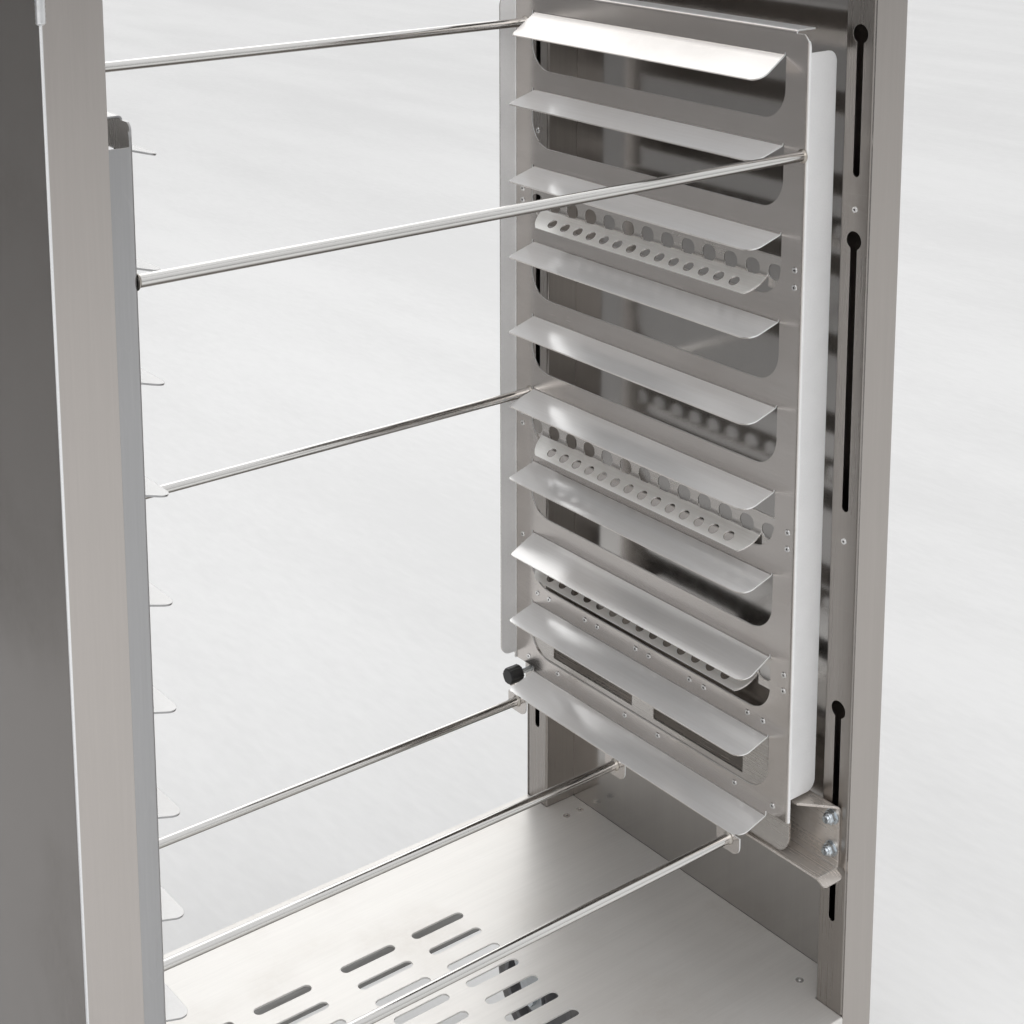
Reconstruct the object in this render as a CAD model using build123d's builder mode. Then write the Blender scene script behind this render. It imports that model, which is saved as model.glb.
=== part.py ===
from build123d import *

import os
from math import atan2, cos, degrees, radians, sin, tan

# Oven rack trolley. Millimetres, +X to the operator's right, +Y towards the oven, +Z up.
# The origin is on the floor, in the middle of the whole trolley with its push handle.

# Rack for trays that go in crosswise
tray_width = 530.0
tray_side_gap = 5.0
rack_sheet = 1.2
rack_depth = 352.7
rack_bend = 1.5
ledge_count = 10
ledge_pitch = 69.0
ledge_setback = 24.5
ledge_width = 31.2
ledge_tilt = 16.6
steep_right_ledges = {1: 34.0, 8: 27.0}
ledge_front_radius = 11.0
ledge_rear_radius = 3.0
window_front_gap = 1.5
window_rear_gap = 3.5
window_height = 50.5
window_radius = 24.0
relief_height = 1.5
front_flange = 30.2
front_flange_radius = 9.0
rear_flange = 18.0
rear_flange_radius = 10.0
top_flange = 20.0
panel_above_top_ledge = 20.0
panel_below_bottom_ledge = 4.0
panel_corner = 13.0

# Lugs under the bottom ledge, and the tie rods
lug_width = 26.0
lug_depth = 16.0
lug_radius = 8.0
lug_inset = 12.0
rod_diameter = 8.0
rod_edge_gap = 4.0
rod_rear_gap = 14.0

# Perforated air strips behind the windows, each so far above the bottom of its window
strip_rises = {3: 7.0, 6: 3.5, 8: 22.5}
strip_sheet = 1.0
strip_bend = 6.0
strip_tilt = 37.0
strip_flange = 22.2
strip_fold_rise = 7.8
strip_corner = 18.0
strip_end_relief = 1.0
strip_corner_gap = 9.0
strip_web_height = 26.0
strip_end_gap = 2.0
web_hole_length = 15.5
web_hole_height = 13.0
web_hole_pitch = 24.4
flange_hole_diameter = 9.5
flange_hole_pitch = 17.3
flange_hole_inset = 13.4

# Rivets
rivet_shank = 3.2
rivet_head = 5.4
rivet_head_height = 0.8
rivet_hole = 1.8
rivet_inset = 8.5
strip_front_rivets = (5.0, 18.5)
strip_rear_rivets = (10.0, 20.5)
pair_spacing = 17.2
pair_height = 11.0
low_rivet_height = 12.0

# Runners that carry the rack on its rails
runner_sheet = 2.0
runner_offset = 8.0
runner_drop = 31.7
runner_end_gap = 7.0
runner_corner = 16.0
tongue_width = 28.0
tongue_strip = 13.0

# Guide rails
rail_sheet = 2.0
rail_depth = 55.0
rail_flange = 24.6
rail_end_gap = 9.5
rail_height = 127.1
rail_lead_in = 22.0
rail_lip = 8.0
rail_lip_drop = 4.5
rail_corner = 4.0
rail_bend = 2.0
slide_gap = 0.2

# Rail bolts in the keyhole slots
bolt_diameter = 6.0
bolt_lift = 16.3
bolt_drop = 10.7
nut_across = 10.0
nut_height = 5.2
nut_flange = 13.0
nut_flange_height = 1.4
bolt_head_across = 10.0
bolt_head_height = 4.0
bolt_tail = 4.0

# Clamp screws
clamp_diameter = 5.0
clamp_pitch = 0.8
clamp_height = 25.2
clamp_setback = 11.2
clamp_knob_diameter = 16.0
clamp_knob_height = 14.0
clamp_knob_gap = 6.0
clamp_ledge_gap = 8.0
clamp_nut_across = 9.0
clamp_nut_height = 5.0
thread_clearance = 0.05

# Side walls and uprights
side_clearance = 1.6
upright_width = 33.5
upright_depth = 30.0
upright_sheet = 1.5
upright_bend = 2.5
wall_sheet = 1.2
wall_bend = 2.5
wall_height = 935.0
rack_setback = 36.5
rack_rear_gap = 22.8
keyhole_head = 14.5
keyhole_slot = 6.6
keyholes = {"low": (78.0, 262.0), "middle": (427.0, 643.0), "high": (692.0, 800.0)}
web_rivets = (403.0, 667.0)

# Base
shelf_sheet = 1.5
shelf_skirt = 32.0
shelf_gap = 0.3
vent_length = 53.0
vent_width = 9.5
vent_pitch = 26.5
vent_rows = 8
vent_inner = 41.5
vent_outer = 113.5
beam_width = 77.0
beam_height = 30.0
beam_sheet = 2.0
beam_gap = 0.6
base_screw_diameter = 4.0
base_screw_head = 7.0
base_screw_socket = 2.4
inner_screw_inset = 6.2
outer_screw_inset = 22.7
base_screw_y = 53.4

# Push handle
handle_tube = 25.0
handle_wall = 1.5
handle_reach = 75.0
handle_bend = 40.0
handle_drop = 30.0
handle_plate_width = 30.0
handle_plate_height = 50.0
handle_plate = 3.0
handle_bolt_gap = 5.5
handle_bolt = 6.0

# Castors
castor_inset_x = 57.0
wheel_crown_gap = 11.7
wheel_diameter = 125.0
wheel_width = 32.0
tyre_thickness = 14.0
wheel_trail = 38.0
hub_diameter = 34.0
hub_length = 36.0
axle_diameter = 8.0
castor_plate_length = 105.0
castor_plate_width = 80.0
castor_plate_sheet = 3.0
castor_bolt_x = 80.0
castor_bolt_y = 56.0
castor_bolt = 8.0
swivel_diameter = 56.0
swivel_height = 11.0
king_pin = 12.0
crown_thickness = 4.0
fork_sheet = 3.0
fork_gap = 0.5
running_gap = 0.05
washer_gap = 0.3
pedal_pin = 6.0
pedal_width = 30.0
pedal_length = 46.0
pedal_sheet = 3.0

# Places that follow from those sizes
rack_x = tray_width / 2 + tray_side_gap
rack_out = rack_x + rack_sheet
web_x = rack_x + front_flange + side_clearance
wall_in = web_x + upright_width
wall_out = wall_in + wall_sheet
trolley_depth = rack_setback + rack_depth + rack_rear_gap
y_front = (handle_reach + handle_tube / 2 - trolley_depth) / 2
y_rear = y_front + trolley_depth
y_middle = (y_front + y_rear) / 2
crown_underside = wheel_diameter + wheel_crown_gap
castor_height = crown_underside + crown_thickness + washer_gap + swivel_height + castor_plate_sheet
shelf_top = castor_height + beam_height + shelf_sheet
wall_bottom = castor_height - wall_sheet
wall_top = shelf_top + wall_height
rail_z = shelf_top + rail_height
runner_z = rail_z + rail_sheet + slide_gap
bottom_ledge_z = runner_z + runner_drop
top_ledge_z = bottom_ledge_z + ledge_pitch * (ledge_count - 1)
panel_z = bottom_ledge_z + panel_below_bottom_ledge
panel_top = top_ledge_z + panel_above_top_ledge
y_rack = y_front + rack_setback
y_rack_rear = y_rack + rack_depth
y_ledge = y_rack + ledge_setback
ledge_length = rack_depth - ledge_setback - clamp_setback - clamp_knob_diameter / 2 - clamp_ledge_gap
y_ledges_middle = y_ledge + ledge_length / 2
window_length = ledge_length + window_front_gap + window_rear_gap
y_windows_middle = y_ledge - window_front_gap + window_length / 2
strip_flange_length = window_length - 2 * (window_radius - strip_corner_gap)
web_hole_count = int(ledge_length // web_hole_pitch) + 1
flange_hole_count = int(strip_flange_length // flange_hole_pitch) - 1
handle_bolt_spread = handle_tube + 2 * handle_bolt_gap
rail_top = rail_z + rail_depth
rail_out = web_x - slide_gap
rail_in = rail_out - rail_sheet
upright_y = y_front + upright_depth / 2 + 0.5
lug_x = rack_x - ledge_width * cos(radians(ledge_tilt))
lug_z = bottom_ledge_z - ledge_width * sin(radians(ledge_tilt))
flange_bottom = rail_top + 3.0
flange_top = panel_top - 16.0
rod_z = lug_z - lug_depth / 2 + 2.5
rod_front_y = y_rack + rod_edge_gap
rod_rear_y = y_rack_rear - rod_rear_gap

os.makedirs("parts", exist_ok=True)


def write(piece, name):
    """Label a finished piece and write it."""
    piece.part.label = name
    export_step(piece.part, f"parts/{name}.step")


def ledge_z(number):
    """Height of the bend line of a ledge, counted from the top."""
    return bottom_ledge_z + ledge_pitch * (ledge_count - number)


def sheet_profile(points, radii, thickness, side):
    """Section of a bent sheet: one face follows the points, the other lies on the given side."""
    with BuildSketch(mode=Mode.PRIVATE) as profile:
        with BuildLine():
            FilletPolyline(*points, radius=radii)
            offset(amount=thickness, side=side)
        make_face()
    return profile.sketch


def mirrored(piece):
    """The left-hand piece that matches a right-hand one."""
    with BuildPart() as other:
        add(piece.part)
        mirror(about=Plane.YZ, mode=Mode.REPLACE)
    return other


# Rack panels

def make_ledge(tilt):
    """One right-hand ledge with its bend line at height 0."""
    reach = ledge_width * cos(radians(tilt))
    drop = ledge_width * sin(radians(tilt))
    path = [(rack_x, panel_below_bottom_ledge), (rack_x, 0), (rack_x - reach, -drop)]
    section = sheet_profile(path, [rack_bend], rack_sheet, Side.LEFT)
    with BuildPart() as ledge:
        with BuildSketch(Plane.XZ.offset(-y_ledge)):
            add(section)
        extrude(amount=-ledge_length)
        corners = ledge.edges().filter_by(lambda edge: abs(edge.length - rack_sheet) < 0.01)
        free = corners.group_by(Axis.X)[0].sort_by(Axis.Y)
        fillet(free[0], radius=ledge_front_radius)
        rear = ledge.edges().filter_by(lambda edge: abs(edge.length - rack_sheet) < 0.01)
        rear_free = rear.filter_by(lambda edge: edge.center().Y > y_ledges_middle).sort_by(Axis.X)
        fillet(rear_free[0], radius=ledge_rear_radius)
    return ledge


plain_ledge = make_ledge(ledge_tilt)
steep_parts = {number: make_ledge(tilt) for number, tilt in steep_right_ledges.items()}

lug_ys = [y_ledge + lug_inset, y_ledges_middle, y_ledge + ledge_length - lug_width / 2]
strip_zs = {number: ledge_z(number) - window_height + rise for number, rise in strip_rises.items()}
tongue_ys = [y_ledges_middle + step * (ledge_length - tongue_width) / 2 for step in (-1, 0, 1)]
half_tongue_ys = [(tongue_ys[0] + tongue_ys[1]) / 2, (tongue_ys[1] + tongue_ys[2]) / 2]
rivet_spots = []
for strip_z in strip_zs.values():
    rivet_spots += [(y_rack + rivet_inset, strip_z + rise) for rise in strip_front_rivets]
    rivet_spots += [(y_rack_rear - rivet_inset - strip_end_gap, strip_z + rise) for rise in strip_rear_rivets]
strip_rivets = list(rivet_spots)
runner_rivets = []
for pair_y in tongue_ys + half_tongue_ys:
    runner_rivets += [(pair_y + sign * pair_spacing / 2, ledge_z(ledge_count - 1) + pair_height) for sign in (-1, 1)]
for pair_y in tongue_ys:
    runner_rivets += [(pair_y + sign * 1.25 * pair_spacing, bottom_ledge_z + low_rivet_height) for sign in (-1, 1)]
rivet_spots += runner_rivets

with BuildSketch() as window:
    Rectangle(window_length, window_height + relief_height, align=(Align.CENTER, Align.MAX))
    fillet(window.vertices().group_by(Axis.Y)[0], radius=window_radius)
window_spots = [(y_windows_middle, ledge_z(number) + relief_height) for number in range(1, ledge_count)]

panel_path = [
    (rack_x - rear_flange, y_rack_rear),
    (rack_out, y_rack_rear),
    (rack_out, y_rack + rack_sheet),
    (rack_x + front_flange, y_rack + rack_sheet),
]
panel_section = sheet_profile(panel_path, [rack_bend + rack_sheet, rack_bend], rack_sheet, Side.RIGHT)
top_path = [(rack_x, panel_top - panel_corner), (rack_x, panel_top), (rack_x + top_flange, panel_top)]
top_section = sheet_profile(top_path, [rack_bend + rack_sheet], rack_sheet, Side.RIGHT)

with BuildPart() as bent_panel:
    with BuildSketch(Plane.XY.offset(panel_z)):
        add(panel_section)
    extrude(amount=panel_top - rack_bend - rack_sheet - panel_z)
    # The panel's front top corner is round
    with BuildSketch(Plane.YZ.offset(rack_x - rear_flange)):
        with Locations((y_rack, panel_top)):
            Rectangle(2 * panel_corner, 2 * panel_corner)
        with Locations((y_rack + panel_corner, panel_top - panel_corner)):
            Circle(panel_corner, mode=Mode.SUBTRACT)
            Rectangle(panel_corner, 2 * panel_corner, align=(Align.MIN, Align.CENTER), mode=Mode.SUBTRACT)
    extrude(amount=rear_flange + front_flange + rack_sheet, mode=Mode.SUBTRACT)
    # The front flange ends short of both ends of the panel, with round corners
    with BuildSketch(Plane.XZ.offset(-y_rack + rack_bend)):
        with Locations((rack_x + front_flange / 2 + rack_sheet + rack_bend, (panel_z + panel_top) / 2)):
            Rectangle(front_flange, panel_top - panel_z + 2)
        with Locations((rack_x, (flange_bottom + flange_top) / 2)):
            RectangleRounded(2 * front_flange, flange_top - flange_bottom, front_flange_radius, mode=Mode.SUBTRACT)
    extrude(amount=-4 * rack_bend, mode=Mode.SUBTRACT)
    # The rear flange stops the trays and has round ends
    with BuildSketch(Plane.XZ.offset(-y_rack_rear - rack_bend)):
        with Locations((rack_x - rear_flange / 2 - rack_bend, (panel_z + panel_top) / 2)):
            Rectangle(rear_flange, panel_top - panel_z + 2)
        with Locations((rack_x, (panel_z + panel_top) / 2)):
            RectangleRounded(2 * rear_flange, panel_top - panel_z - 12.0, rear_flange_radius, mode=Mode.SUBTRACT)
    extrude(amount=4 * rack_bend, mode=Mode.SUBTRACT)
    # Windows, rivet holes and the turned top
    with BuildSketch(Plane.YZ.offset(rack_x)):
        with Locations(*window_spots):
            add(window.sketch)
        with Locations(*rivet_spots):
            Circle(rivet_shank / 2)
    extrude(amount=rack_sheet, mode=Mode.SUBTRACT)
    with BuildSketch(Plane.XZ.offset(-y_rack - panel_corner)):
        add(top_section)
    extrude(amount=-(rack_depth - panel_corner - 2 * rear_flange_radius))


def finish_panel(steep):
    """The right-hand panel with its ledges, where steep holds those that are bent further down."""
    with BuildPart() as panel:
        add(bent_panel.part)
        # Ledges bent out of the windows
        for number in range(1, ledge_count + 1):
            with Locations((0, 0, ledge_z(number))):
                add(steep.get(number, plain_ledge).part)
        # Lugs for the bottom tie rods
        for lug_y in lug_ys:
            with BuildSketch(Plane.YZ.offset(lug_x)) as lug:
                with Locations((lug_y, lug_z)):
                    Rectangle(lug_width, lug_depth, align=(Align.CENTER, Align.MAX))
                fillet(lug.vertices().group_by(Axis.Y)[0], radius=lug_radius)
            extrude(amount=rack_sheet)
    return panel


rack_panel_right = finish_panel(steep_parts)
rack_panel_left = mirrored(finish_panel({}))
write(rack_panel_right, "rack_panel_right")
write(rack_panel_left, "rack_panel_left")


# Tie rods

def make_rod(y, z, reach):
    """A round rod across the rack that ends at plus and minus reach."""
    with BuildPart() as rod:
        with BuildSketch(Plane.YZ.offset(-reach)):
            with Locations((y, z)):
                Circle(rod_diameter / 2)
        extrude(amount=2 * reach)
    return rod


tie_rods = {
    "tie_rod_top_rear": (rod_rear_y, ledge_z(1) - 10.0, rack_x),
    "tie_rod_top_front": (rod_front_y, ledge_z(2) - 5.0, rack_x),
    "tie_rod_middle_rear": (rod_rear_y - 7.0, ledge_z(6) - 4.0, rack_x),
    "tie_rod_bottom_front": (lug_ys[0], rod_z, lug_x),
    "tie_rod_bottom_middle": (lug_ys[1], rod_z, lug_x),
    "tie_rod_bottom_rear": (lug_ys[2], rod_z, lug_x),
}
for rod_name, (rod_y, rod_height, rod_reach) in tie_rods.items():
    tie_rod = make_rod(rod_y, rod_height, rod_reach)
    write(tie_rod, rod_name)

# Perforated air strips: an upright web behind the panel and a sloping shelf through the window
strip_reach = strip_flange * cos(radians(strip_tilt))
strip_drop = strip_flange * sin(radians(strip_tilt))
strip_bend_length = (strip_bend + strip_sheet) * tan(radians((90 - strip_tilt) / 2))
strip_web_x = rack_out + strip_sheet
strip_length = rack_depth - rack_sheet - rack_bend - 2 * strip_end_gap - rack_bend
strip_y = y_rack + rack_sheet + rack_bend + strip_end_gap
strip_tab_ends = (
    (strip_y, y_windows_middle - strip_flange_length / 2 - strip_end_relief),
    (y_windows_middle + strip_flange_length / 2 + strip_end_relief, strip_y + strip_length),
)
for window_number, strip_z in strip_zs.items():
    strip_foot = strip_z - strip_sheet
    strip_path = [
        (strip_web_x - strip_reach, strip_fold_rise - strip_drop),
        (strip_web_x, strip_fold_rise),
        (strip_web_x, strip_web_height),
    ]
    strip_section = sheet_profile(strip_path, [strip_bend + strip_sheet], strip_sheet, Side.LEFT)
    shelf_bottom = strip_foot + strip_fold_rise - strip_drop - strip_sheet
    bend_top = strip_foot + strip_fold_rise + strip_bend_length
    hole_plane = Plane(
        origin=(
            strip_web_x - flange_hole_inset * cos(radians(strip_tilt)),
            y_windows_middle,
            strip_foot + strip_fold_rise - flange_hole_inset * sin(radians(strip_tilt)),
        ),
        x_dir=(-cos(radians(strip_tilt)), 0, -sin(radians(strip_tilt))),
        z_dir=(-sin(radians(strip_tilt)), 0, cos(radians(strip_tilt))),
    )
    with BuildPart() as air_strip:
        with BuildSketch(Plane.XZ.offset(-strip_y)):
            with Locations((0, strip_foot)):
                add(strip_section)
        extrude(amount=-strip_length)
        with BuildSketch(Plane.XY.offset(shelf_bottom)):
            with Locations((rack_out, y_windows_middle)):
                Rectangle(strip_flange + 4 * strip_sheet, rack_depth, align=(Align.MAX, Align.CENTER))
            with Locations((rack_out, y_windows_middle)):
                RectangleRounded(
                    2 * (strip_reach + rack_sheet), strip_flange_length, strip_corner, mode=Mode.SUBTRACT
                )
        extrude(amount=bend_top - shelf_bottom, mode=Mode.SUBTRACT)
        for tab_start, tab_end in strip_tab_ends:
            with BuildSketch(Plane.YZ.offset(rack_out)):
                with Locations((tab_start, strip_foot)):
                    tab_height = bend_top - strip_foot + strip_sheet
                    Rectangle(tab_end - tab_start, tab_height, align=(Align.MIN, Align.MIN))
            extrude(amount=strip_sheet)
        with BuildSketch(hole_plane):
            with GridLocations(1, flange_hole_pitch, 1, flange_hole_count):
                Circle(flange_hole_diameter / 2)
        extrude(amount=3 * strip_sheet, both=True, mode=Mode.SUBTRACT)
        with BuildSketch(Plane.YZ.offset(rack_x)):
            with Locations((y_windows_middle, strip_foot + strip_web_height / 2)):
                with GridLocations(web_hole_pitch, 1, web_hole_count, 1):
                    SlotOverall(web_hole_length, web_hole_height)
            with Locations(*strip_rivets):
                Circle(rivet_shank / 2)
        extrude(amount=4 * strip_sheet, mode=Mode.SUBTRACT)
    air_strip_left = mirrored(air_strip)
    write(air_strip, f"air_strip_right_{window_number}")
    write(air_strip_left, f"air_strip_left_{window_number}")

# Runners: a frame riveted behind the panel, stepped out to a skid that slides in the rail
runner_y = y_rack + runner_end_gap
runner_length = rack_depth - runner_end_gap - 2 * rack_bend
skid_x = rack_out + runner_sheet + runner_offset
runner_path = [
    (rack_out + runner_sheet, panel_z + 2 * low_rivet_height - panel_below_bottom_ledge),
    (rack_out + runner_sheet, panel_z + 1.0),
    (skid_x, panel_z - runner_offset / 2),
    (skid_x, runner_z),
]
runner_section = sheet_profile(runner_path, [rack_bend + runner_sheet, rack_bend], runner_sheet, Side.RIGHT)
frame_top = ledge_z(ledge_count - 1) + pair_height + tongue_strip / 2
frame_bottom = panel_z + low_rivet_height
clamp_y = y_rack_rear - clamp_setback
clamp_z = runner_z + clamp_height
with BuildPart() as runner_right:
    with BuildSketch(Plane.XZ.offset(-runner_y)):
        add(runner_section)
    extrude(amount=-runner_length)
    with BuildSketch(Plane.YZ.offset(skid_x - runner_sheet)):
        with Locations((runner_y + runner_length / 2, runner_z + runner_drop / 4)):
            Rectangle(runner_length + 2, runner_drop / 2)
        with Locations((runner_y + runner_length / 2, runner_z)):
            RectangleRounded(runner_length, 4 * runner_corner, runner_corner, mode=Mode.SUBTRACT)
    extrude(amount=runner_sheet, mode=Mode.SUBTRACT)
    with BuildSketch(Plane.YZ.offset(skid_x - runner_sheet)):
        for end_y in (runner_y, runner_y + runner_length):
            with Locations((end_y, runner_z)):
                Rectangle(2 * runner_corner, 2 * runner_corner)
        for end_y in (runner_y + runner_corner, runner_y + runner_length - runner_corner):
            with Locations((end_y, runner_z + runner_corner)):
                Circle(runner_corner, mode=Mode.SUBTRACT)
        with Locations((clamp_y, clamp_z)):
            Circle(clamp_diameter / 2 + 0.5)
    extrude(amount=runner_sheet, mode=Mode.SUBTRACT)
    with BuildSketch(Plane.YZ.offset(rack_out)):
        for tongue_y in tongue_ys:
            with Locations((tongue_y, frame_bottom)):
                Rectangle(tongue_width, frame_top - frame_bottom, align=(Align.CENTER, Align.MIN))
        with Locations((y_ledges_middle, frame_top)):
            Rectangle(ledge_length, tongue_strip, align=(Align.CENTER, Align.MAX))
    extrude(amount=runner_sheet)
    with BuildSketch(Plane.YZ.offset(rack_out)):
        with Locations(*runner_rivets):
            Circle(rivet_shank / 2)
    extrude(amount=runner_sheet, mode=Mode.SUBTRACT)
runner_left = mirrored(runner_right)
write(runner_right, "runner_right")
write(runner_left, "runner_left")

# Rack rivets: domed heads inside, closing heads behind
with BuildPart() as rack_rivets:
    for spots, grip in ((strip_rivets, rack_sheet + strip_sheet), (runner_rivets, rack_sheet + runner_sheet)):
        with BuildSketch(Plane.YZ.offset(rack_x)):
            with Locations(*spots):
                Circle(rivet_head / 2)
        extrude(amount=-rivet_head_height, taper=30)
        with BuildSketch(Plane.YZ.offset(rack_x)):
            with Locations(*spots):
                Circle(rivet_shank / 2)
        extrude(amount=grip)
        with BuildSketch(Plane.YZ.offset(rack_x + grip)):
            with Locations(*spots):
                Circle(rivet_head / 2)
        extrude(amount=rivet_head_height)
        with BuildSketch(Plane.YZ.offset(rack_x - rivet_head_height)):
            with Locations(*spots):
                Circle(rivet_hole / 2)
        extrude(amount=2 * rivet_head_height, mode=Mode.SUBTRACT)
    mirror(about=Plane.YZ)
write(rack_rivets, "rack_rivets")


# Guide rails

rail_length = trolley_depth - 2 * rail_end_gap
rail_path = [
    (rail_out - rail_flange, rail_z),
    (rail_out, rail_z),
    (rail_out, rail_top),
    (rail_out - rail_flange, rail_top),
]
rail_section = sheet_profile(rail_path, [rail_bend + rail_sheet] * 2, rail_sheet, Side.LEFT)
bolt_zs = [rail_z + bolt_lift, rail_top - bolt_drop]
bolt_ys = [upright_y, 2 * y_middle - upright_y]
bolt_spots = [(bolt_y, bolt_z) for bolt_y in bolt_ys for bolt_z in bolt_zs]
with BuildPart() as guide_rail_right:
    with BuildSketch(Plane.XZ.offset(-y_front - rail_end_gap)):
        add(rail_section)
    extrude(amount=-rail_length)
    for end_y, away in ((y_front + rail_end_gap, -1), (y_rear - rail_end_gap, 1)):
        # The top flange tapers so that the rack finds its way in
        with BuildSketch(Plane.XY.offset(rail_top - rail_sheet)):
            with BuildLine():
                Polyline(
                    (rail_in, end_y),
                    (rail_in - rail_lead_in - 1, end_y),
                    (rail_in - rail_lead_in - 1, end_y - away * (rail_lead_in + 2)),
                    (rail_in - rail_lead_in, end_y - away * (rail_lead_in + 2)),
                    close=True,
                )
            make_face()
        extrude(amount=rail_sheet, mode=Mode.SUBTRACT)
        # The bottom flange ends in a lip that turns down
        lip_path = [
            (end_y - away * rail_lip, rail_z + rail_sheet),
            (end_y, rail_z + rail_sheet),
            (end_y + away * rail_lip, rail_z + rail_sheet - rail_lip_drop),
        ]
        lip_side = Side.LEFT if away < 0 else Side.RIGHT
        lip_section = sheet_profile(lip_path, [2 * rail_bend], rail_sheet, lip_side)
        with BuildPart(mode=Mode.PRIVATE) as lip:
            with BuildSketch(Plane.YZ.offset(rail_out - rail_flange)):
                add(lip_section)
            extrude(amount=rail_flange - rail_sheet - 1.0)
            lip_corners = lip.edges().filter_by(lambda edge: abs(edge.length - rail_sheet) < 0.01)
            ends = lip_corners.group_by(Axis.Y)[0 if away < 0 else -1]
            fillet(ends, radius=rail_corner)
        add(lip.part)
    with BuildSketch(Plane.YZ.offset(rail_in)):
        with Locations(*bolt_spots):
            Circle(bolt_diameter / 2)
    extrude(amount=rail_sheet, mode=Mode.SUBTRACT)
guide_rail_left = mirrored(guide_rail_right)
write(guide_rail_right, "guide_rail_right")
write(guide_rail_left, "guide_rail_left")

web_back = web_x + upright_sheet + slide_gap
with BuildPart() as rail_bolts:
    with BuildSketch(Plane.YZ.offset(rail_in - nut_height - bolt_tail)):
        with Locations(*bolt_spots):
            Circle(bolt_diameter / 2)
    extrude(amount=web_back - rail_in + nut_height + bolt_tail)
    with BuildSketch(Plane.YZ.offset(web_back)):
        with Locations(*bolt_spots):
            RegularPolygon(bolt_head_across / 2, 6, major_radius=False)
    extrude(amount=bolt_head_height)
    mirror(about=Plane.YZ)
write(rail_bolts, "rail_bolts")

with BuildPart() as rail_nuts:
    with BuildSketch(Plane.YZ.offset(rail_in)):
        with Locations(*bolt_spots):
            Circle(nut_flange / 2)
    extrude(amount=-nut_flange_height)
    with BuildSketch(Plane.YZ.offset(rail_in - nut_flange_height)):
        with Locations(*bolt_spots):
            RegularPolygon(nut_across / 2, 6, major_radius=False)
    extrude(amount=nut_flange_height - nut_height)
    with BuildSketch(Plane.YZ.offset(rail_in - nut_height)):
        with Locations(*bolt_spots):
            Circle(bolt_diameter / 2)
    extrude(amount=nut_height, mode=Mode.SUBTRACT)
    mirror(about=Plane.YZ)
write(rail_nuts, "rail_nuts")

# Clamp screws at the rear foot of the rack: knob, stud, and a nut on the runner
stud_tip = rail_in - washer_gap
knob_end = skid_x - runner_sheet - clamp_knob_gap - runner_offset
with BuildPart() as clamp_stud_right:
    with BuildSketch(Plane.YZ.offset(knob_end - clamp_knob_height / 2)):
        with Locations((clamp_y, clamp_z)):
            Circle(clamp_diameter / 2)
    extrude(amount=stud_tip - knob_end + clamp_knob_height / 2)
with BuildPart() as clamp_knob_right:
    with BuildSketch(Plane.YZ.offset(knob_end)):
        with Locations((clamp_y, clamp_z)):
            RegularPolygon(clamp_knob_diameter / 2, 6, major_radius=True)
            Circle(clamp_knob_diameter / 2 - 0.6)
    extrude(amount=-clamp_knob_height)
    fillet(clamp_knob_right.faces().sort_by(Axis.X)[0].edges(), radius=1.2)
    with BuildSketch(Plane.YZ.offset(knob_end)):
        with Locations((clamp_y, clamp_z)):
            Circle(clamp_diameter / 2 + running_gap)
    extrude(amount=-clamp_knob_height / 2 - washer_gap, mode=Mode.SUBTRACT)
with BuildPart() as clamp_nuts:
    with BuildSketch(Plane.YZ.offset(skid_x)):
        with Locations((clamp_y, clamp_z)):
            RegularPolygon(clamp_nut_across / 2, 6, major_radius=False)
            Circle(clamp_diameter / 2 + thread_clearance, mode=Mode.SUBTRACT)
    extrude(amount=clamp_nut_height)
    mirror(about=Plane.YZ)
clamp_stud_left = mirrored(clamp_stud_right)
clamp_knob_left = mirrored(clamp_knob_right)
write(clamp_stud_right, "clamp_stud_right")
write(clamp_stud_left, "clamp_stud_left")
write(clamp_knob_right, "clamp_knob_right")
write(clamp_knob_left, "clamp_knob_left")
write(clamp_nuts, "clamp_nuts")


# Side walls: an outer sheet turned in at all four edges

with BuildPart() as side_wall_right:
    with BuildSketch(Plane.XY.offset(wall_bottom)):
        with Locations((web_x, y_middle)):
            Rectangle(wall_out - web_x, trolley_depth, align=(Align.MIN, Align.CENTER))
    extrude(amount=wall_top - wall_bottom)
    outer_face = side_wall_right.faces().sort_by(Axis.X)[-1]
    long_edges = side_wall_right.edges().filter_by(Axis.X)
    fillet(outer_face.edges() + long_edges, radius=wall_bend)
    offset(amount=-wall_sheet, openings=side_wall_right.faces().sort_by(Axis.X)[0])
    handle_z = wall_top - handle_drop
    handle_x = (web_x + wall_out) / 2
    handle_bolt_spots = [(handle_x, handle_z + sign * handle_bolt_spread / 2) for sign in (-1, 1)]
    with BuildSketch(Plane.XZ.offset(-y_front)):
        with Locations(*handle_bolt_spots):
            Circle(handle_bolt / 2)
    extrude(amount=-wall_sheet, mode=Mode.SUBTRACT)
side_wall_left = mirrored(side_wall_right)
write(side_wall_right, "side_wall_right")
write(side_wall_left, "side_wall_left")

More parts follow.
